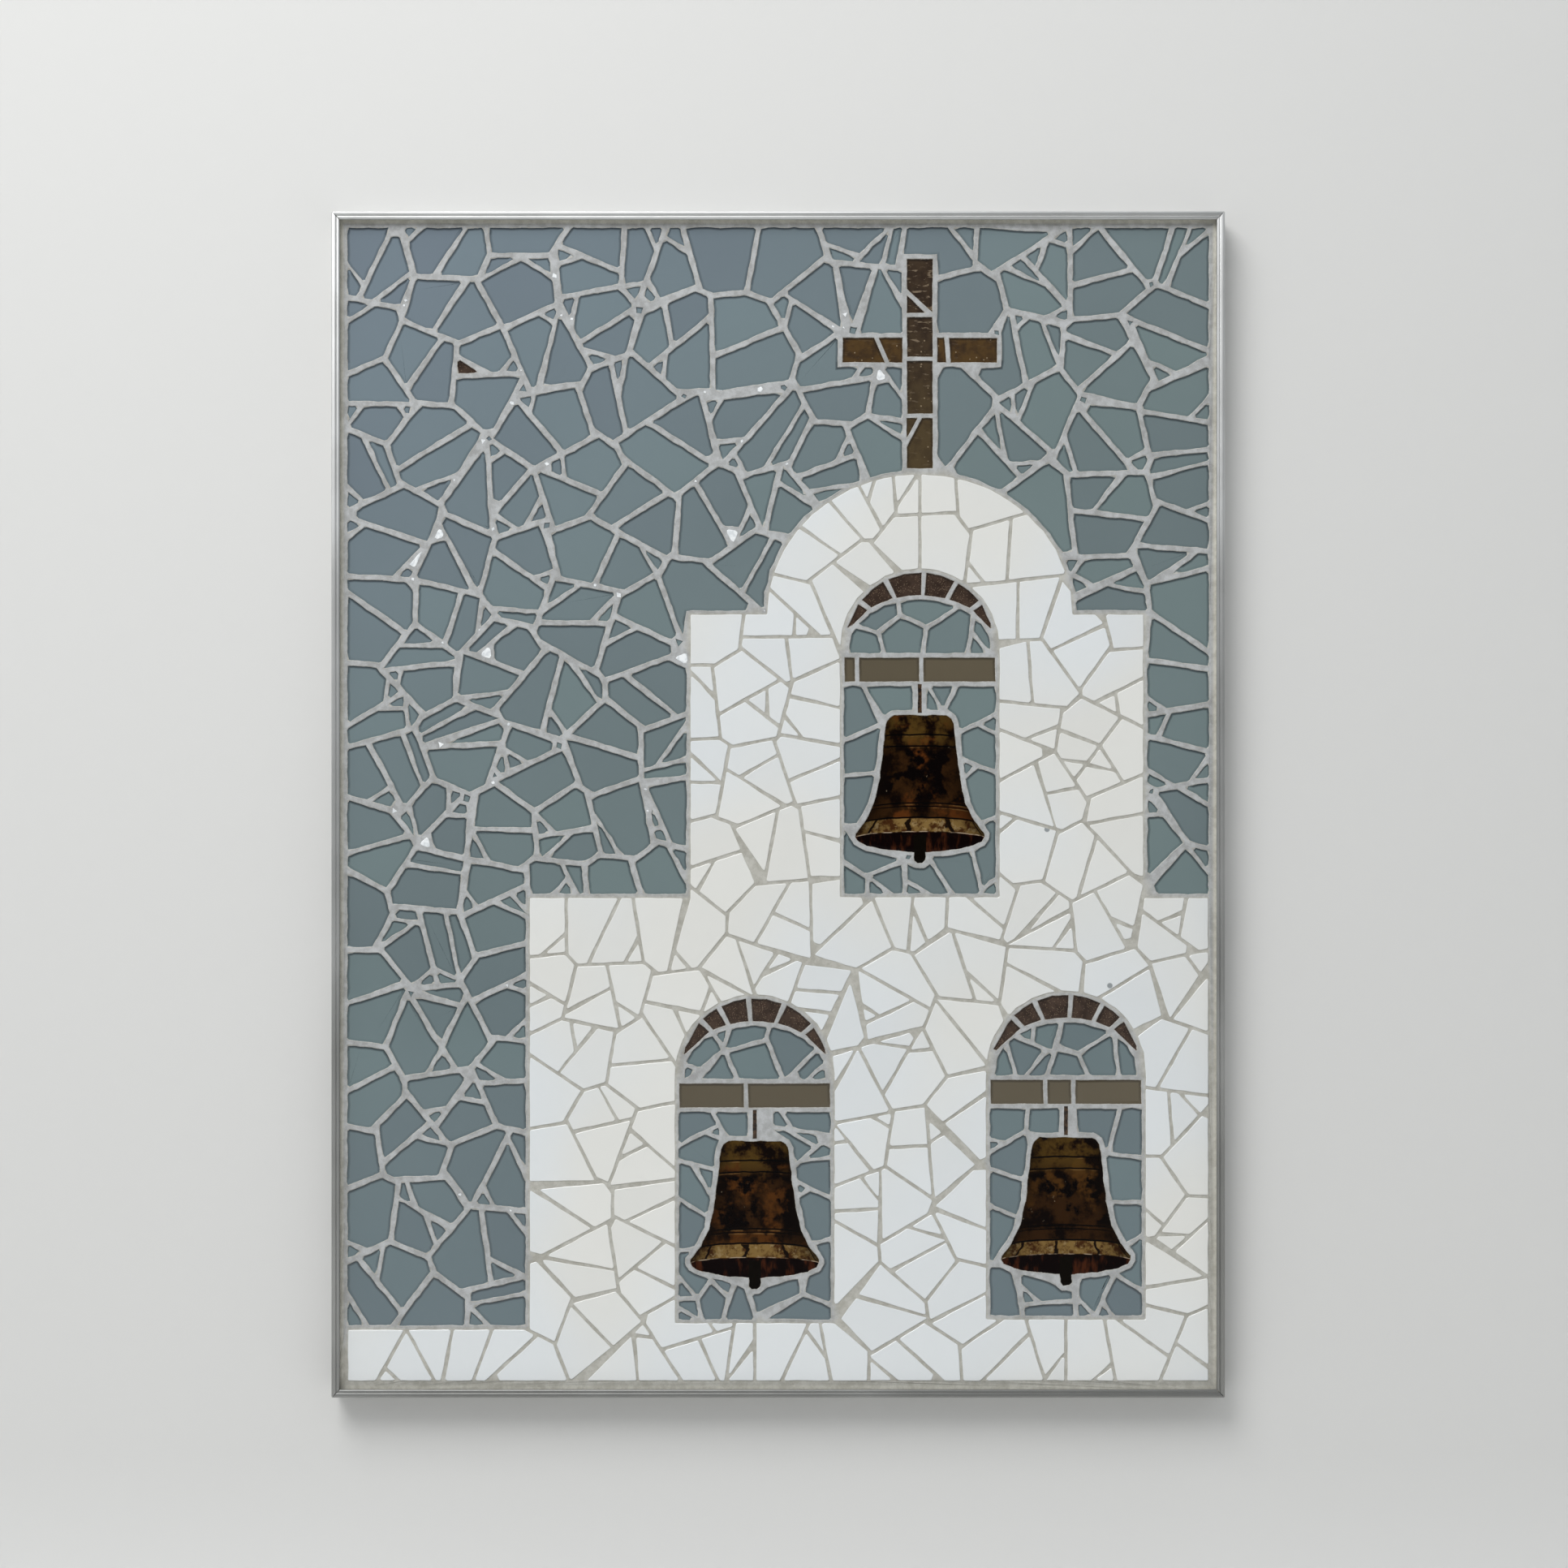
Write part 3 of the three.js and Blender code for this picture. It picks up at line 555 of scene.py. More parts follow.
def make_grout_smear():
    """Where the grout creeps over a tile's lip, in a ragged line."""
    group, given, out = new_group("grout_smear", {"Creep": 0.0, "Raggedness": 0.5}, {"Mask": "Float"})
    rag = maths(group, "SUBTRACT", cloud(group, 700, 3), 0.5)
    edge = maths(group, "MULTIPLY_ADD", rag, given.outputs["Raggedness"], attribute(group, "edge"))
    edge = maths(group, "ADD", edge, given.outputs["Creep"])
    group.links.new(between(group, edge, 1.0, 1.5), out.inputs["Mask"])
    return group


def make_rim_shadow():
    """The shade that the grout throws into the edge of a pane, strongest under its upper side."""
    group, given, out = new_group("rim_shadow", {"Strength": 1.0}, {"Mask": "Float"})
    edge = maths(group, "MINIMUM", attribute(group, "edge"), 1.0)
    edge = maths(group, "POWER", edge, 0.6)
    mask = maths(group, "MULTIPLY", edge, attribute(group, "shade"))
    mask = maths(group, "MULTIPLY", mask, given.outputs["Strength"], clamp=True)
    group.links.new(mask, out.inputs["Mask"])
    return group


def make_drift():
    """Slow changes of tone over the panel, and a small one from tile to tile."""
    group, given, out = new_group(
        "tone_drift", {"Scale": 8.0, "Slow": 0.06, "Each": 0.06}, {"Factor": "Float"})
    slow = maths(group, "SUBTRACT", cloud(group, given.outputs["Scale"], 2), 0.5)
    each = maths(group, "SUBTRACT", attribute(group, "tone"), 0.5)
    slow = maths(group, "MULTIPLY", slow, given.outputs["Slow"])
    each = maths(group, "MULTIPLY_ADD", each, given.outputs["Each"], slow)
    group.links.new(maths(group, "ADD", each, 1.0), out.inputs["Factor"])
    return group


def make_specks():
    """Small round specks, scattered and of uneven strength."""
    group, given, out = new_group(
        "specks", {"Scale": 900.0, "Size": 0.25, "Share": 0.5}, {"Mask": "Float"})
    vector = place_of(group)
    cells = add(group, "TexVoronoi", {"Vector": vector, "Scale": given.outputs["Scale"]})
    spot = maths(group, "LESS_THAN", cells.outputs["Distance"], given.outputs["Size"])
    lucky = add(group, "SeparateColor", {0: cells.outputs["Color"]}).outputs[0]
    lucky = maths(group, "LESS_THAN", lucky, given.outputs["Share"])
    group.links.new(maths(group, "MULTIPLY", spot, lucky), out.inputs["Mask"])
    return group


def make_sand():
    """The colour of cement grout: pale, a little warm, with sand grains and faint stains."""
    group, given, out = new_group(
        "sanded_cement", {"Light": colour(0.5, 0.49, 0.46), "Dark": colour(0.34, 0.325, 0.29)},
        {"Color": "Color", "Height": "Float"})
    stain = between(group, cloud(group, 45, 4, 0.6), 0.35, 0.65)
    lumps = between(group, cloud(group, 190, 3, 0.6), 0.36, 0.64)
    grain = cloud(group, 1500, 2, 0.7)
    share = maths(group, "MULTIPLY", between(group, grain, 0.35, 0.75), 0.25)
    share = maths(group, "MULTIPLY_ADD", stain, 0.3, share)
    share = maths(group, "MULTIPLY_ADD", lumps, 0.5, share, clamp=True)
    mix = mixed(group, share, given.outputs["Light"], given.outputs["Dark"])
    height = maths(group, "MULTIPLY_ADD", cloud(group, 350, 3, 0.6), 1.0, grain)
    group.links.new(mix, out.inputs["Color"])
    group.links.new(height, out.inputs["Height"])
    return group


EFFECTS = {
    "smear": make_grout_smear(),
    "shadow": make_rim_shadow(),
    "drift": make_drift(),
    "specks": make_specks(),
    "sand": make_sand(),
}


# ---------------------------------------------------------------- materials

def new_material(name, **values):
    """A material with its Principled shader. Values that are the same all over are set on it."""
    material = bpy.data.materials.new(name)
    material.use_nodes = True
    shader = material.node_tree.nodes["Principled BSDF"]
    for socket, value in values.items():
        shader.inputs[socket.replace("_", " ")].default_value = value
    return material, material.node_tree, shader


def link(tree, shader, **sockets):
    for name, socket in sockets.items():
        tree.links.new(socket, shader.inputs[name.replace("_", " ")])


def bump(tree, height, strength, distance):
    inputs = {"Height": height, "Strength": strength, "Distance": distance}
    return add(tree, "Bump", inputs).outputs["Normal"]


def set_in_grout(tree, shader, face_colour, face_roughness, creep=0.0, raggedness=0.9):
    """Ends a tile's material with the grout that creeps over its lip."""
    smear = place_group(tree, EFFECTS["smear"], Creep=creep, Raggedness=raggedness)["Mask"]
    sand = place_group(tree, EFFECTS["sand"])
    link(tree, shader, Base_Color=mixed(tree, smear, face_colour, sand["Color"]),
         Roughness=maths(tree, "MULTIPLY_ADD", smear, 0.8, face_roughness, clamp=True))


def sky_glass():
    """Glass with its colour on the back: blue grey, bluer towards the top left."""
    material, tree, shader = new_material("sky_glass", IOR=1.5)
    place = add(tree, "SeparateXYZ", {0: place_of(tree)})
    across, up = place.outputs["X"], place.outputs["Z"]
    corner = maths(tree, "SUBTRACT", up, maths(tree, "MULTIPLY", across, 0.8))
    blue = between(tree, corner, 0.05, 0.62)
    low = between(tree, up, 0.0, -0.38)
    tint = mixed(tree, blue, colour(0.166, 0.210, 0.219), colour(0.172, 0.212, 0.250))
    tint = mixed(tree, low, tint, colour(0.138, 0.180, 0.201))
    drift = place_group(tree, EFFECTS["drift"], Scale=7.0, Slow=0.16, Each=0.13)["Factor"]
    tint = add(tree, "VectorMath", {0: tint, "Scale": drift}, operation="SCALE").outputs[0]
    greener = maths(tree, "MULTIPLY", attribute(tree, "tone"), 0.5)
    tint = mixed(tree, greener, tint, colour(0.95, 1.02, 0.95), blend="MULTIPLY")
    shadow = place_group(tree, EFFECTS["shadow"], Strength=1.05)["Mask"]
    tint = mixed(tree, shadow, tint, colour(0.030, 0.036, 0.042))
    rough = between(tree, cloud(tree, 60, 3), 0.3, 0.7, 0.06, 0.13)
    set_in_grout(tree, shader, tint, rough)
    return material


PITS = ((184 * MM, -TILE_FACE, -17 * MM), (227 * MM, -TILE_FACE, -124 * MM))  # in the glaze


def white_glaze():
    material, tree, shader = new_material("white_glaze", IOR=1.5)
    drift = place_group(tree, EFFECTS["drift"], Scale=5.0, Slow=0.05, Each=0.05)["Factor"]
    warm = between(tree, cloud(tree, 6, 1), 0.4, 0.65)
    tint = mixed(tree, warm, colour(0.745, 0.77, 0.78), colour(0.765, 0.76, 0.725))
    tint = add(tree, "VectorMath", {0: tint, "Scale": drift}, operation="SCALE").outputs[0]
    rough = between(tree, cloud(tree, 120, 3), 0.3, 0.7, 0.12, 0.2)
    edge = between(tree, attribute(tree, "edge"), 1.4, 2.0)
    tint = mixed(tree, maths(tree, "MULTIPLY", edge, 0.25), tint, colour(0.52, 0.5, 0.46))
    for place in PITS:
        away = add(tree, "VectorMath", {0: place_of(tree), 1: place}, operation="DISTANCE")
        pit = between(tree, away.outputs["Value"], 2.3 * MM, 1.4 * MM)
        tint = mixed(tree, pit, tint, colour(0.30, 0.32, 0.33))
    ripple = bump(tree, cloud(tree, 90, 2), 0.06, 0.4 * MM)
    link(tree, shader, Base_Color=tint, Roughness=rough, Normal=ripple)
    return material


def cement():
    """Grey between the glass, warmer between the white tiles, and sandy and lighter along the edging, where
    the lighter colour is partly painted light against the shade under the edging's lip.
    """
    material, tree, shader = new_material("grout", Roughness=0.92)
    cool = attribute(tree, "cool")
    light = mixed(tree, cool, colour(0.535, 0.525, 0.48), colour(0.51, 0.52, 0.525))
    dark = mixed(tree, cool, colour(0.37, 0.355, 0.31), colour(0.315, 0.315, 0.31))
    place = add(tree, "SeparateXYZ", {0: place_of(tree)})
    # partly painted light: the grout along the edging is lighter, against the shade that the edging's lip
    # throws on it
    rim_across = between(tree, maths(tree, "ABSOLUTE", place.outputs["X"]), 0.2965, 0.2990)
    rim_along = between(tree, maths(tree, "ABSOLUTE", place.outputs["Z"]), 0.3965, 0.3990)
    rim = maths(tree, "MAXIMUM", rim_across, rim_along)
    light = mixed(tree, rim, light, colour(0.74, 0.72, 0.64))
    dark = mixed(tree, rim, dark, colour(0.52, 0.50, 0.43))
    sand = place_group(tree, EFFECTS["sand"], Light=light, Dark=dark)
    link(tree, shader, Base_Color=sand["Color"], Normal=bump(tree, sand["Height"], 0.5, 0.3 * MM))
    return material


def arch_glass():
    """Dark brown glass with fine tan sparkles in it."""
    material, tree, shader = new_material("arch_glass", IOR=1.5)
    base = mixed(tree, between(tree, cloud(tree, 130, 3), 0.3, 0.7),
                 colour(0.030, 0.017, 0.011), colour(0.062, 0.038, 0.026))
    fine = place_group(tree, EFFECTS["specks"], Scale=1300.0, Size=0.33, Share=0.3)["Mask"]
    base = mixed(tree, maths(tree, "MULTIPLY", fine, 0.7), base, colour(0.24, 0.17, 0.11))
    shadow = place_group(tree, EFFECTS["shadow"], Strength=0.7)["Mask"]
    base = mixed(tree, shadow, base, colour(0.008, 0.005, 0.004))
    set_in_grout(tree, shader, base, 0.2)
    return material


def cross_glass():
    """Brown glass: golden in the arms, with wavy bright streaks in the upper pieces and smoother
    lower down."""
    material, tree, shader = new_material("cross_glass", IOR=1.5)
    place = add(tree, "SeparateXYZ", {0: place_of(tree)})
    low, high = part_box("cross_middle")
    aside = maths(tree, "ABSOLUTE", maths(tree, "SUBTRACT", place.outputs["X"], (low.x + high.x) / 2))
    arm = between(tree, aside, 10.5 * MM, 11.5 * MM)
    up = between(tree, place.outputs["Z"], 0.24, 0.34)
    base = mixed(tree, up, colour(0.074, 0.050, 0.022), colour(0.046, 0.028, 0.015))
    base = mixed(tree, arm, base, colour(0.078, 0.042, 0.012))
    blots = between(tree, cloud(tree, 160, 3), 0.35, 0.7)
    blots = maths(tree, "MULTIPLY", blots, maths(tree, "MULTIPLY_ADD", up, 0.45, 0.35))
    base = mixed(tree, blots, base, colour(0.022, 0.012, 0.007))
    streak = between(tree, cloud(tree, 60, 4, 0.62, stretched(tree, (2.0, 1, 8.0))), 0.57, 0.64)
    plain = maths(tree, "MAXIMUM", arm, maths(tree, "SUBTRACT", 1.0, up))
    streak = maths(tree, "MULTIPLY", streak, maths(tree, "MULTIPLY_ADD", plain, -0.7, 0.8))
    base = mixed(tree, streak, base, colour(0.24, 0.18, 0.12))
    fine = place_group(tree, EFFECTS["specks"], Scale=420.0, Size=0.22, Share=0.14)["Mask"]
    base = mixed(tree, maths(tree, "MULTIPLY", fine, 0.6), base, colour(0.38, 0.29, 0.18))
    shadow = place_group(tree, EFFECTS["shadow"], Strength=0.85)["Mask"]
    base = mixed(tree, shadow, base, colour(0.008, 0.005, 0.003))
    set_in_grout(tree, shader, base, 0.18)
    return material


def beam_glass():
    """Plain taupe glass."""
    material, tree, shader = new_material("beam_glass", IOR=1.5)
    drift = place_group(tree, EFFECTS["drift"], Scale=30.0, Slow=0.1, Each=0.12)["Factor"]
    tint = colour(0.112, 0.092, 0.060)
    tint = add(tree, "VectorMath", {0: tint[:3], "Scale": drift}, operation="SCALE").outputs[0]
    shadow = place_group(tree, EFFECTS["shadow"], Strength=0.85)["Mask"]
    tint = mixed(tree, shadow, tint, colour(0.028, 0.022, 0.015))
    set_in_grout(tree, shader, tint, between(tree, cloud(tree, 60, 3), 0.3, 0.7, 0.1, 0.17))
    return material


def glint_chip_paint():
    """Milky chips in the joints. Their bright white is partly a painted highlight that stands in for glints
    of light.
    """
    material, tree, shader = new_material("milky_chip", IOR=1.5, Roughness=0.08)
    # near-white colour, partly painted highlight for the glints
    tint = mixed(tree, between(tree, cloud(tree, 300, 2), 0.4, 0.6),
                 colour(0.9, 0.92, 0.93), colour(0.72, 0.75, 0.77))
    link(tree, shader, Base_Color=tint)
    return material


def aluminium(name, grain):
    """Satin aluminium, finely drawn along the bar, with painted shade that darkens it towards the bottom and
    the right.
    """
    material, tree, shader = new_material(name, Metallic=1.0)
    place = add(tree, "SeparateXYZ", {0: place_of(tree)})
    # painted shade: the bars grow darker towards the bottom and the right, with soft blotches in it
    painted_shade = maths(tree, "MULTIPLY_ADD", place.outputs["X"], 0.2, cloud(tree, 7, 3, 0.6))
    painted_shade = between(tree, maths(tree, "SUBTRACT", painted_shade, place.outputs["Z"]), 0.0, 1.0)
    tint = mixed(tree, painted_shade, colour(0.70, 0.705, 0.70), colour(0.26, 0.26, 0.25))
    lines = cloud(tree, 1, 2, 0.5, stretched(tree, grain))
    cast = maths(tree, "MULTIPLY", between(tree, cloud(tree, 22, 4, 0.6), 0.45, 0.75), 0.22)
    tint = mixed(tree, cast, tint, colour(0.32, 0.315, 0.30))
    drawn = maths(tree, "MULTIPLY", between(tree, lines, 0.3, 0.7), 0.14)
    tint = mixed(tree, drawn, tint, colour(0.26, 0.26, 0.25))
    rough = between(tree, lines, 0.3, 0.7, 0.42, 0.52)
    link(tree, shader, Base_Color=tint, Roughness=rough, Normal=bump(tree, lines, 0.02, 0.05 * MM))
    return material


def plywood():
    """The back board: bare, fine-grained wood with a few darker streaks."""
    material, tree, shader = new_material("back_board", Roughness=0.75)
    grain = cloud(tree, 3, 6, 0.62, stretched(tree, (22, 1, 1.2)))
    fibres = cloud(tree, 55, 4, 0.7, stretched(tree, (20, 1, 0.8)))
    tint = mixed(tree, between(tree, grain, 0.35, 0.68), colour(0.50, 0.36, 0.21), colour(0.36, 0.235, 0.125))
    tint = mixed(tree, maths(tree, "MULTIPLY", between(tree, fibres, 0.5, 0.8), 0.4), tint,
                 colour(0.24, 0.15, 0.08))
    link(tree, shader, Base_Color=tint, Normal=bump(tree, fibres, 0.3, 0.2 * MM))
    return material


def bell_enamel():
    """A bronze bell seen a little from below, painted on glass: banded, worn and mottled. The UV
    map gives millimetres from the bell's middle line and down from its top."""
    material, tree, shader = new_material("bell_enamel", IOR=1.4)
    spot = add(tree, "SeparateXYZ", {0: add(tree, "UVMap", uv_map="bell").outputs[0]})
    aside, drop = spot.outputs["X"], spot.outputs["Y"]
    share = maths(tree, "DIVIDE", drop, 84.0, clamp=True)
    flare = maths(tree, "MULTIPLY", maths(tree, "POWER", share, 5.0), 13.0)
    half = maths(tree, "ADD", maths(tree, "MULTIPLY_ADD", share, 8.0, 24.0), flare)
    across = maths(tree, "DIVIDE", aside, half)
    square = maths(tree, "MINIMUM", maths(tree, "MULTIPLY", across, across), 1.0)
    bow = maths(tree, "SQRT", maths(tree, "SUBTRACT", 1.0, square))
    rise = maths(tree, "MULTIPLY_ADD", maths(tree, "MULTIPLY", share, share), 3.4, 1.3)
    wobble = maths(tree, "SUBTRACT", cloud(tree, 110, 3), 0.5)
    level = maths(tree, "MULTIPLY_ADD", rise, bow, maths(tree, "MULTIPLY_ADD", wobble, 1.2, drop))
    bronze = worn_bronze(tree, level)
    lip = bell_lip(tree, across, wobble)
    on_lip = maths(tree, "MULTIPLY", between(tree, level, 74.3, 75.2), between(tree, level, 84.6, 83.8))
    bronze = mixed(tree, on_lip, bronze, lip)
    sides = maths(tree, "MULTIPLY", maths(tree, "POWER", square, 2.0), 0.85)
    bronze = mixed(tree, sides, bronze, colour(0.004, 0.002, 0.001))
    worn = between(tree, cloud(tree, 160, 3), 0.40, 0.62)
    rim = maths(tree, "MULTIPLY", band(tree, level, 84.4, 0.5), worn)
    bronze = mixed(tree, rim, bronze, colour(0.34, 0.26, 0.18))
    streaks = cloud(tree, 120, 3, 0.6, stretched(tree, (1, 1, 0.35)))
    inside = mixed(tree, between(tree, streaks, 0.50, 0.68),
                   colour(0.003, 0.001, 0.001), colour(0.052, 0.014, 0.005))
    bronze = mixed(tree, between(tree, level, 84.5, 85.2), bronze, inside)
    clapper = maths(tree, "MULTIPLY", between(tree, maths(tree, "ABSOLUTE", aside), 4.6, 4.0),
                    between(tree, drop, 81.5, 82.5))
    bronze = mixed(tree, clapper, bronze, colour(0.003, 0.002, 0.001))
    shader.inputs["Specular IOR Level"].default_value = 0.08
    set_in_grout(tree, shader, bronze, 0.2, raggedness=1.1)
    return material


def worn_bronze(tree, level):
    """The body of a bell: black, brown, rust and olive patches, with grooves round it."""
    tone = between(tree, attribute(tree, "tone"), 0.2, 0.8)
    patches = cloud(tree, 75, 4, 0.62)
    bronze = mixed(tree, between(tree, patches, 0.38, 0.60),
                   colour(0.0035, 0.0015, 0.001), colour(0.029, 0.0118, 0.0034))
    rust = between(tree, cloud(tree, 48, 4, 0.6), 0.50, 0.62)
    warm = mixed(tree, tone, colour(0.105, 0.031, 0.006), colour(0.076, 0.034, 0.007))
    bronze = mixed(tree, maths(tree, "MULTIPLY", rust, 0.75), bronze, warm)
    crown = maths(tree, "MULTIPLY", between(tree, level, 30, 14), between(tree, patches, 0.42, 0.6))
    bronze = mixed(tree, maths(tree, "MULTIPLY", crown, 0.7), bronze, colour(0.088, 0.050, 0.010))
    soot = between(tree, cloud(tree, 42, 4, 0.65, stretched(tree, (1, 1.7, 1))), 0.50, 0.57)
    waist = maths(tree, "MULTIPLY", between(tree, level, 20, 27), between(tree, level, 68, 60))
    bronze = mixed(tree, maths(tree, "MULTIPLY", soot, waist), bronze, colour(0.002, 0.001, 0.001))
    for place, width in ((15.0, 0.8), (23.0, 0.7), (63.5, 0.7), (66.0, 0.5), (74.0, 0.9)):
        bronze = mixed(tree, band(tree, level, place, width), bronze, colour(0.001, 0.001, 0.001))
        lit = maths(tree, "MULTIPLY", band(tree, level, place + 1.1, 0.5), rust)
        bronze = mixed(tree, lit, bronze, colour(0.14, 0.075, 0.025))
    glint = between(tree, cloud(tree, 210, 2, 0.6, stretched(tree, (1.3, 1, 0.9))), 0.72, 0.78)
    glint = maths(tree, "MULTIPLY", glint, waist)
    return mixed(tree, maths(tree, "MULTIPLY", glint, 0.6), bronze, colour(0.42, 0.33, 0.22))


def bell_lip(tree, across, wobble):
    """The bright lip, in worn gold and rust, with dark upright lines."""
    lit = between(tree, cloud(tree, 150, 4, 0.65), 0.38, 0.60)
    lip = mixed(tree, lit, colour(0.050, 0.018, 0.005), colour(0.205, 0.125, 0.040))
    pale = between(tree, cloud(tree, 260, 3, 0.6), 0.56, 0.66)
    lip = mixed(tree, maths(tree, "MULTIPLY", pale, 0.5), lip, colour(0.35, 0.255, 0.125))
    inside = maths(tree, "MAXIMUM", maths(tree, "MINIMUM", across, 1.0), -1.0)
    turn = maths(tree, "MULTIPLY_ADD", wobble, 0.30, maths(tree, "ARCSINE", inside))
    tick = maths(tree, "ABSOLUTE", maths(tree, "SINE", maths(tree, "MULTIPLY_ADD", turn, 4.2, 0.8)))
    return mixed(tree, between(tree, tick, 0.20, 0.11), lip, colour(0.008, 0.004, 0.002))


def band(tree, level, place, width):
    """A thin line at one level, with soft sides."""
    away = maths(tree, "ABSOLUTE", maths(tree, "SUBTRACT", level, place))
    return between(tree, away, width, width * 0.35)


def hanger_enamel():
    material, tree, shader = new_material("hanger_enamel", IOR=1.5)
    tint = mixed(tree, between(tree, cloud(tree, 300, 3), 0.4, 0.65),
                 colour(0.012, 0.007, 0.004), colour(0.075, 0.042, 0.022))
    set_in_grout(tree, shader, tint, 0.25, creep=-0.2)
    return material


# ---------------------------------------------------------------- making

def make_bell_map(sheet_node, mesh):
    """Lays the bell's own millimetres over its face."""
    low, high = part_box(sheet_node)
    middle = (low.x + high.x) / 2
    layer = mesh.loops.layers.uv.new("bell")
    for face in mesh.faces:
        for corner in face.loops:
            aside = (corner.vert.co.x - middle) / MM
            corner[layer].uv = (aside, (high.z - corner.vert.co.z) / MM)


def edging_bar(name, material):
    """A bar of the edging with its sharp arrises taken off."""
    mesh = bmesh.new()
    mesh.from_mesh(nodes[name].data)
    bmesh.ops.remove_doubles(mesh, verts=mesh.verts, dist=MERGE)
    bmesh.ops.dissolve_limit(
        mesh, angle_limit=0.01, verts=mesh.verts, edges=mesh.edges, delimit=set())
    sharp = [edge for edge in mesh.edges if edge.calc_face_angle(0) > math.radians(40)]
    bmesh.ops.bevel(
        mesh, geom=sharp, offset=0.22 * MM, segments=2, profile=0.5, affect="EDGES",
        material=-1, clamp_overlap=True)
    shade_smoothly(mesh, 35)
    return mesh_object(name + "_satin", mesh, material, [name])


def shade_smoothly(mesh, degrees):
    bmesh.ops.recalc_face_normals(mesh, faces=mesh.faces)
    for face in mesh.faces:
        face.smooth = True
    for edge in mesh.edges:
        edge.smooth = edge.calc_face_angle(0) < math.radians(degrees)


def break_sky(sheet, chance):
    """Crazy paving of glass: large panes, then chips and slivers from their edges."""
    break_large(sheet, 1450 * MM * MM, 4.1 * MM, 5, chance)
    shave_sides(sheet, 0.34, (6.5 * MM, 9.5 * MM), 3.5 * MM, chance)
    snap_corners(sheet, 0.64, (7 * MM, 13 * MM), 3.5 * MM, chance)
    snap_corners(sheet, 0.3, (7 * MM, 10 * MM), 3.5 * MM, chance)
    snap_slivers(sheet, 4.4, 3.5 * MM, chance)
    drop_crumbs(sheet, 1.2 * MM)


def break_opening(sheet, chance):
    break_large(sheet, 850 * MM * MM, 3.6 * MM, 5, chance)
    shave_sides(sheet, 0.25, (6 * MM, 8 * MM), 3.2 * MM, chance)
    snap_corners(sheet, 0.45, (6 * MM, 10 * MM), 3.2 * MM, chance)
    snap_slivers(sheet, 4.4, 3.2 * MM, chance)
    drop_crumbs(sheet, 1.1 * MM)


def break_wall(sheet, chance):
    """Crazy paving of white tiles, with close joints."""
    break_large(sheet, 1200 * MM * MM, 2.0 * MM, 2.5, chance)
    snap_corners(sheet, 0.35, (8 * MM, 15 * MM), 2.0 * MM, chance)
    snap_slivers(sheet, 5.0, 2.0 * MM, chance)
    drop_crumbs(sheet, 1.2 * MM)


OPENINGS = ("opening_upper", "opening_lower_left", "opening_lower_right")
SET_PIECES = {  # for each kind its material, its slot and how far its outline grows
    "cross_": (cross_glass, "brown_glass", 0.3 * MM),
    "arch_": (arch_glass, "brown_glass", 0.5 * MM),
    "beam_": (beam_glass, "beam_glass", 0.35 * MM),
    "bell_": (bell_enamel, "bell_glass", 0),
    "hanger_": (hanger_enamel, "bell_glass", 0),
}


def glass_outlines(name, chance):
    """The outline sheets of the sky and the openings."""
    sheet = front_sheet(name)
    if name == "sky":
        break_sky(sheet, chance)
    else:
        break_opening(sheet, chance)
    return sheet


def set_outlines(name):
    """The outline of one piece cut to shape: a bell's shoulders are round."""
    sheet = front_sheet(name)
    if name.startswith("bell_"):
        top = max(vert.co.z for vert in sheet.verts)
        shoulders = [vert for vert in sheet.verts if top - 7 * MM < vert.co.z < top - MM]
        bmesh.ops.bevel(
            sheet, geom=shoulders, offset=5 * MM, segments=4, profile=0.5, affect="VERTICES",
            material=-1, clamp_overlap=True)
        merge_close(sheet, sheet.verts, 0.4 * MM)
    growth = next(growth for kind, (_, _, growth) in SET_PIECES.items() if name.startswith(kind))
    if growth:
        blunt_corners(sheet, 0.4 * MM)
        grow(sheet, growth)
    return sheet


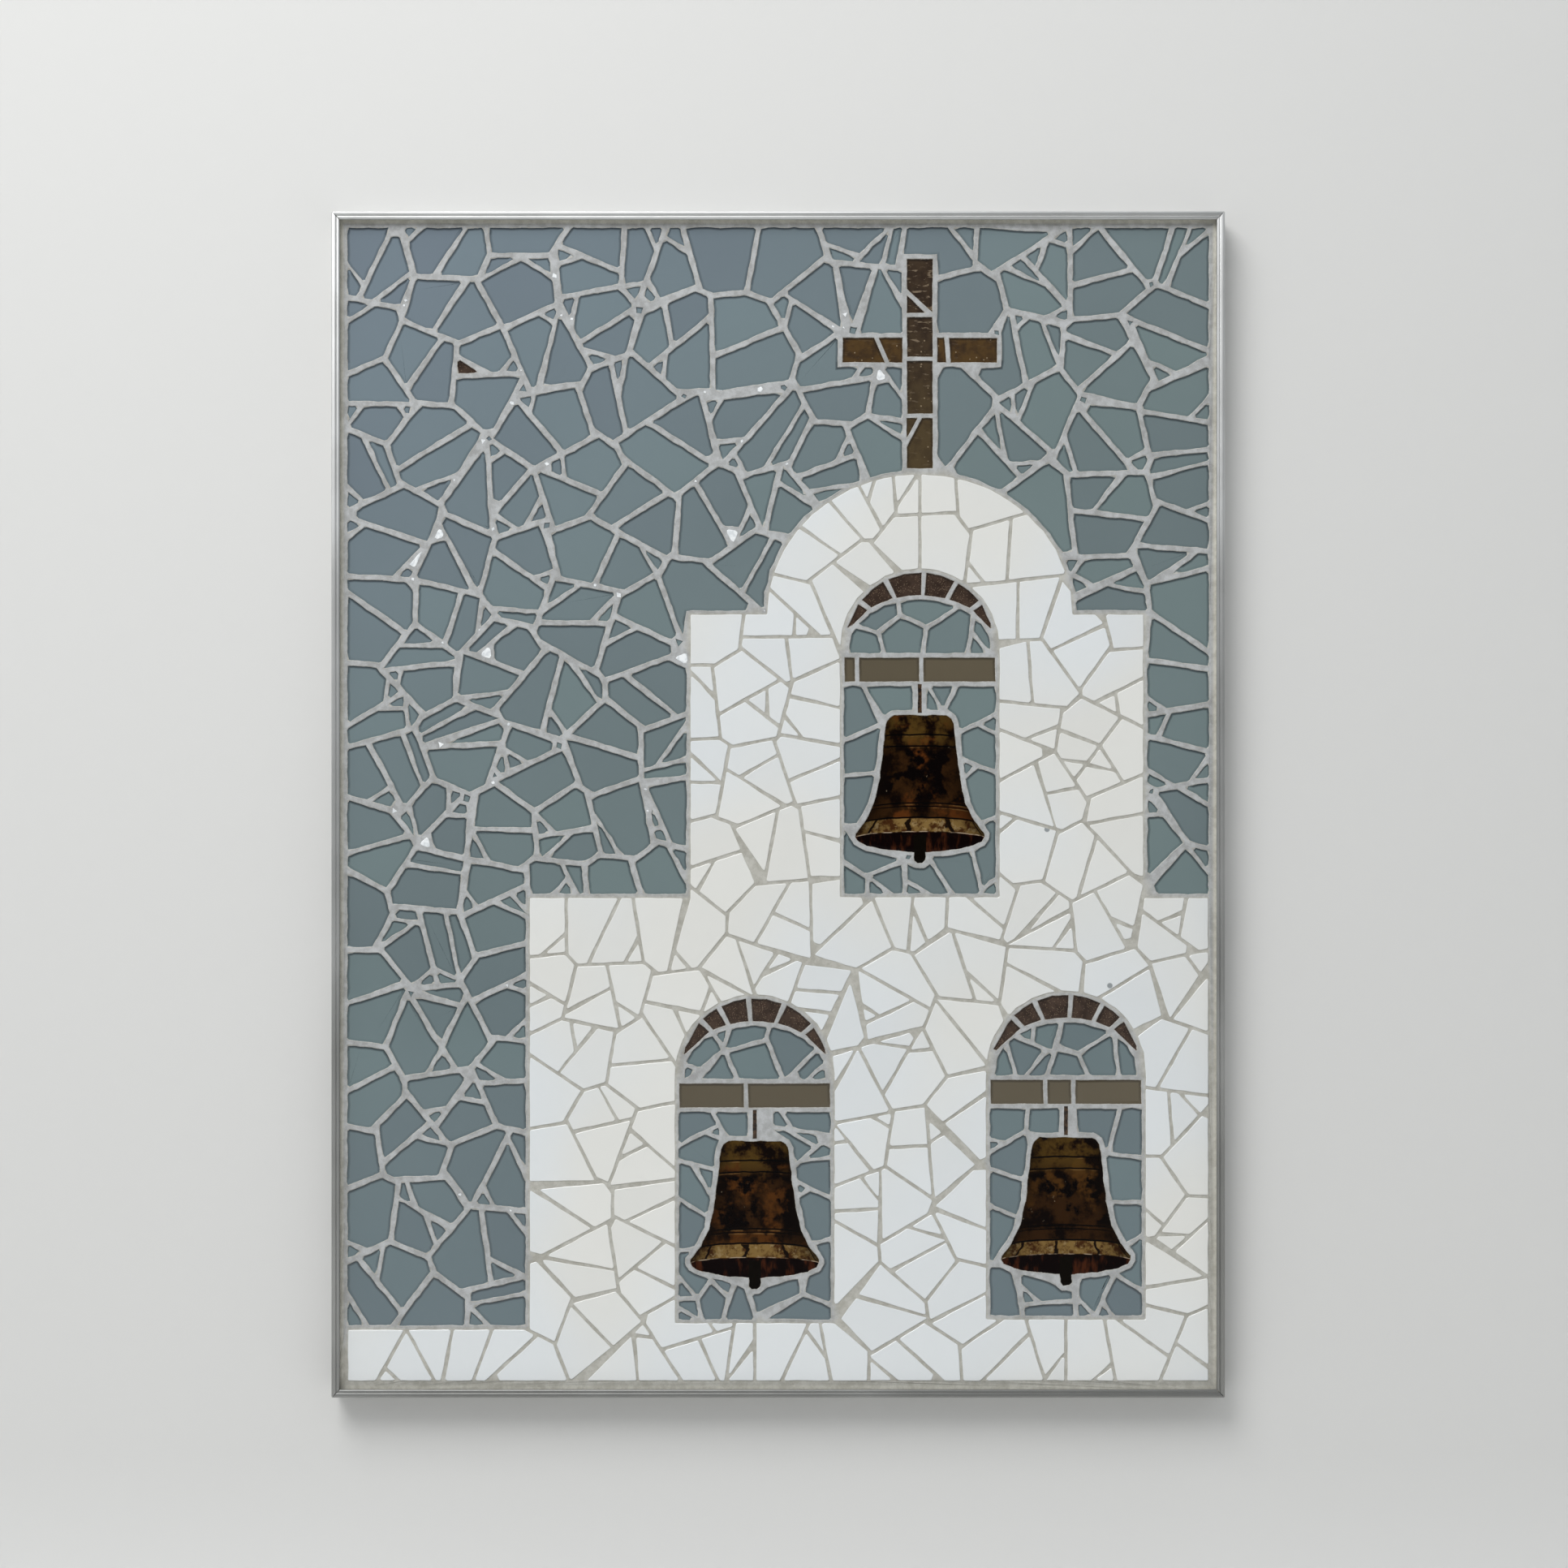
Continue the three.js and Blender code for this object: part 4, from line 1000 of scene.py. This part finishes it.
def make_mosaic():
    chance = random.Random(10)
    glass = {name: glass_outlines(name, chance) for name in ("sky", *OPENINGS)}
    wall = front_sheet("wall")
    break_wall(wall, chance)
    near = small_tile_near(glass["sky"], Vector((-0.24, -TILE_EDGE, 0.32)))
    dark = take_small(glass["sky"], 90 * MM * MM, 1, lambda spot: (spot - near).length < MM, chance)
    # milky chips on the left, whose bright white is partly painted highlight for glints in the joints
    milky_glint = take_small(glass["sky"], 27 * MM * MM, 0.4, lambda spot: spot.x < 0.12, chance)
    settings = {name: set_outlines(name) for name in nodes if name.startswith(tuple(SET_PIECES))}
    for sheet in (*glass.values(), milky_glint, dark):
        blunt_corners(sheet, 0.9 * MM)
        grow(sheet, 0.7 * MM)
    blunt_corners(wall, 1.1 * MM)
    grow(wall, -0.12 * MM)
    others = [milky_glint, dark, wall, *settings.values()]
    for name, sheet in glass.items():
        rest = [other for other in glass.values() if other is not sheet]
        tries = 50000 if name == "sky" else 4000
        lay_chips(sheet, wide_gaps(sheet, rest + others, 1.4 * MM, 1.8 * MM, tries, chance), chance)
    rest = [sheet for sheet in (*glass.values(), *others) if sheet is not milky_glint]
    glints = wide_gaps(milky_glint, rest, 0.9 * MM, 0.75 * MM, 30000, chance, glass["sky"])
    glints = [glint for glint in glints if glint[1].x < 0.12]
    lay_chips(milky_glint, chance.sample(glints, min(34, len(glints))), chance)
    for sheet in (*glass.values(), milky_glint, dark):
        roughen(sheet, 8 * MM, 0.4 * MM, chance)
        roughen(sheet, 4 * MM, 0.16 * MM, chance)
    roughen(wall, 9 * MM, 0.25 * MM, chance)
    for name, sheet in settings.items():
        roughen(sheet, 5 * MM, (0.4 if name.startswith("bell") else 0.15) * MM, chance)
    sheets = [*glass.values(), milky_glint, dark, *settings.values()]
    mesh_object("grout", grout_mass(sheets, [wall]), cement())
    for name, sheet in glass.items():
        lay_glass(sheet, name + "_panes", GLASS_MATERIAL, [name], chance)
    # the chips' bright white is partly painted highlight
    chips = tile_bodies(milky_glint, GLASS_EDGE, TILE_FACE, 0.5 * MM, 0, 4, chance)
    mesh_object("milky_chips", chips, glint_chip_paint())
    lay_glass(dark, "brown_chip", arch_glass(), [], chance)
    tiles = tile_bodies(wall, TILE_EDGE, TILE_FACE, 0.35 * MM, 0, 0.12, chance)
    mesh_object("white_tiles", tiles, white_glaze(), ["wall"])
    for kind, (make_finish, slot, _) in SET_PIECES.items():
        material = make_finish()
        for name in [name for name in settings if name.startswith(kind)]:
            lay_glass(settings[name], name + "_glass", material, [name], chance)


def lay_glass(sheet, name, material, replaced, chance):
    mesh = tile_bodies(sheet, GLASS_EDGE, GLASS_FACE, 0.55 * MM, 1.7 * MM, 0.2, chance)
    if name.startswith("bell_"):
        make_bell_map(replaced[0], mesh)
    return mesh_object(name, mesh, material, replaced)


def make_edging():
    lying = aluminium("aluminium_lying", (2, 2400, 2400))
    upright = aluminium("aluminium_upright", (2400, 2400, 2))
    for name in ("frame_top", "frame_bottom"):
        edging_bar(name, lying)
    for name in ("frame_left", "frame_right"):
        edging_bar(name, upright)


def make_board():
    board = nodes["backing_board"]
    board.data.materials.clear()
    board.data.materials.append(plywood())


# ---------------------------------------------------------------- studio

def stage_paint():
    """Pale matt paint, seen from its own side alone, so that it never hides the object."""
    material, tree, shader = new_material("stage_paint", Roughness=0.9)
    shader.inputs["Base Color"].default_value = colour(0.70, 0.695, 0.68)
    behind = add(tree, "NewGeometry").outputs["Backfacing"]
    clear = add(tree, "BsdfTransparent").outputs[0]
    mix = add(tree, "MixShader", {0: behind, 1: shader.outputs[0], 2: clear})
    tree.links.new(mix.outputs[0], tree.nodes["Material Output"].inputs["Surface"])
    return material


def make_stage():
    """A wall that the panel hangs on, running down into a floor in a wide curve."""
    mesh = bmesh.new()
    wall_y, floor_z, cove = 0.001, -0.75, 0.3
    top = mesh.verts.new((-4, wall_y, 3))
    foot = mesh.verts.new((-4, wall_y, floor_z + cove))
    mesh.edges.new((top, foot))
    bend = bmesh.ops.spin(
        mesh, geom=[foot], cent=(0, wall_y - cove, floor_z + cove), axis=(1, 0, 0),
        dvec=(0, 0, 0), angle=math.radians(-90), steps=12)
    end = next(item for item in bend["geom_last"] if isinstance(item, bmesh.types.BMVert))
    front = mesh.verts.new((-4, -6, floor_z))
    mesh.edges.new((end, front))
    swept = bmesh.ops.extrude_edge_only(mesh, edges=list(mesh.edges))["geom"]
    bmesh.ops.translate(
        mesh, verts=[item for item in swept if isinstance(item, bmesh.types.BMVert)], vec=(8, 0, 0))
    for face in mesh.faces:
        face.smooth = True
        if face.normal.dot(Vector((0, -1, 1))) < 0:
            face.normal_flip()
    data = bpy.data.meshes.new("studio")
    mesh.to_mesh(data)
    mesh.free()
    data.materials.append(stage_paint())
    studio = bpy.data.objects.new("studio", data)
    bpy.context.scene.collection.objects.link(studio)
    studio.visible_shadow = False


def aim(thing, target):
    thing.rotation_euler = (Vector(target) - thing.location).to_track_quat("-Z", "Y").to_euler()


def soft_light(name, place, size, power, tint=(1, 1, 1)):
    data = bpy.data.lights.new(name, "AREA")
    data.shape = "DISK"
    data.size = size
    data.energy = power
    data.color = tint
    light = bpy.data.objects.new(name, data)
    light.location = place
    bpy.context.scene.collection.objects.link(light)
    aim(light, (0, 0, 0))


def make_world():
    """Soft light from all round, dimmer straight in front of the panel, so that its glass
    mirrors a dark room. The camera itself sees a pale ground."""
    world = bpy.data.worlds.new("studio")
    bpy.context.scene.world = world
    world.use_nodes = True
    tree = world.node_tree
    way = add(tree, "SeparateXYZ", {0: add(tree, "TexCoord").outputs["Generated"]})
    ahead = between(tree, way.outputs["Y"], -0.98, -0.55, 0.16, 0.5)
    above = between(tree, way.outputs["Z"], -0.3, 0.6, 0.6, 1.45)
    strength = maths(tree, "MULTIPLY", ahead, above)
    room = add(tree, "Background", {"Color": colour(0.93, 0.97, 1.0), "Strength": strength})
    ground = add(tree, "Background", {"Color": colour(0.86, 0.86, 0.85), "Strength": 1.0})
    seen = add(tree, "LightPath").outputs["Is Camera Ray"]
    mix = add(tree, "MixShader", {0: seen, 1: room.outputs[0], 2: ground.outputs[0]})
    tree.links.new(mix.outputs[0], tree.nodes["World Output"].inputs["Surface"])


def make_camera():
    """Straight in front of the panel, which lies a little below the middle of the view."""
    data = bpy.data.cameras.new("camera")
    data.lens = 60
    view_height = 1.073
    distance = view_height / 2 / math.tan(data.angle / 2)
    camera = bpy.data.objects.new("camera", data)
    camera.location = (0.004, -distance - 0.017, 0.014)
    camera.rotation_euler = (math.radians(90), 0, 0)
    bpy.context.scene.collection.objects.link(camera)
    bpy.context.scene.camera = camera


bpy.context.scene.view_settings.view_transform = "Standard"
GLASS_MATERIAL = sky_glass()
make_camera()
make_edging()
make_board()
make_mosaic()
make_stage()
make_world()
soft_light("key", (-0.9, -1.7, 2.1), 1.8, 57)
soft_light("back", (0.9, 1.9, 1.3), 1.6, 30)
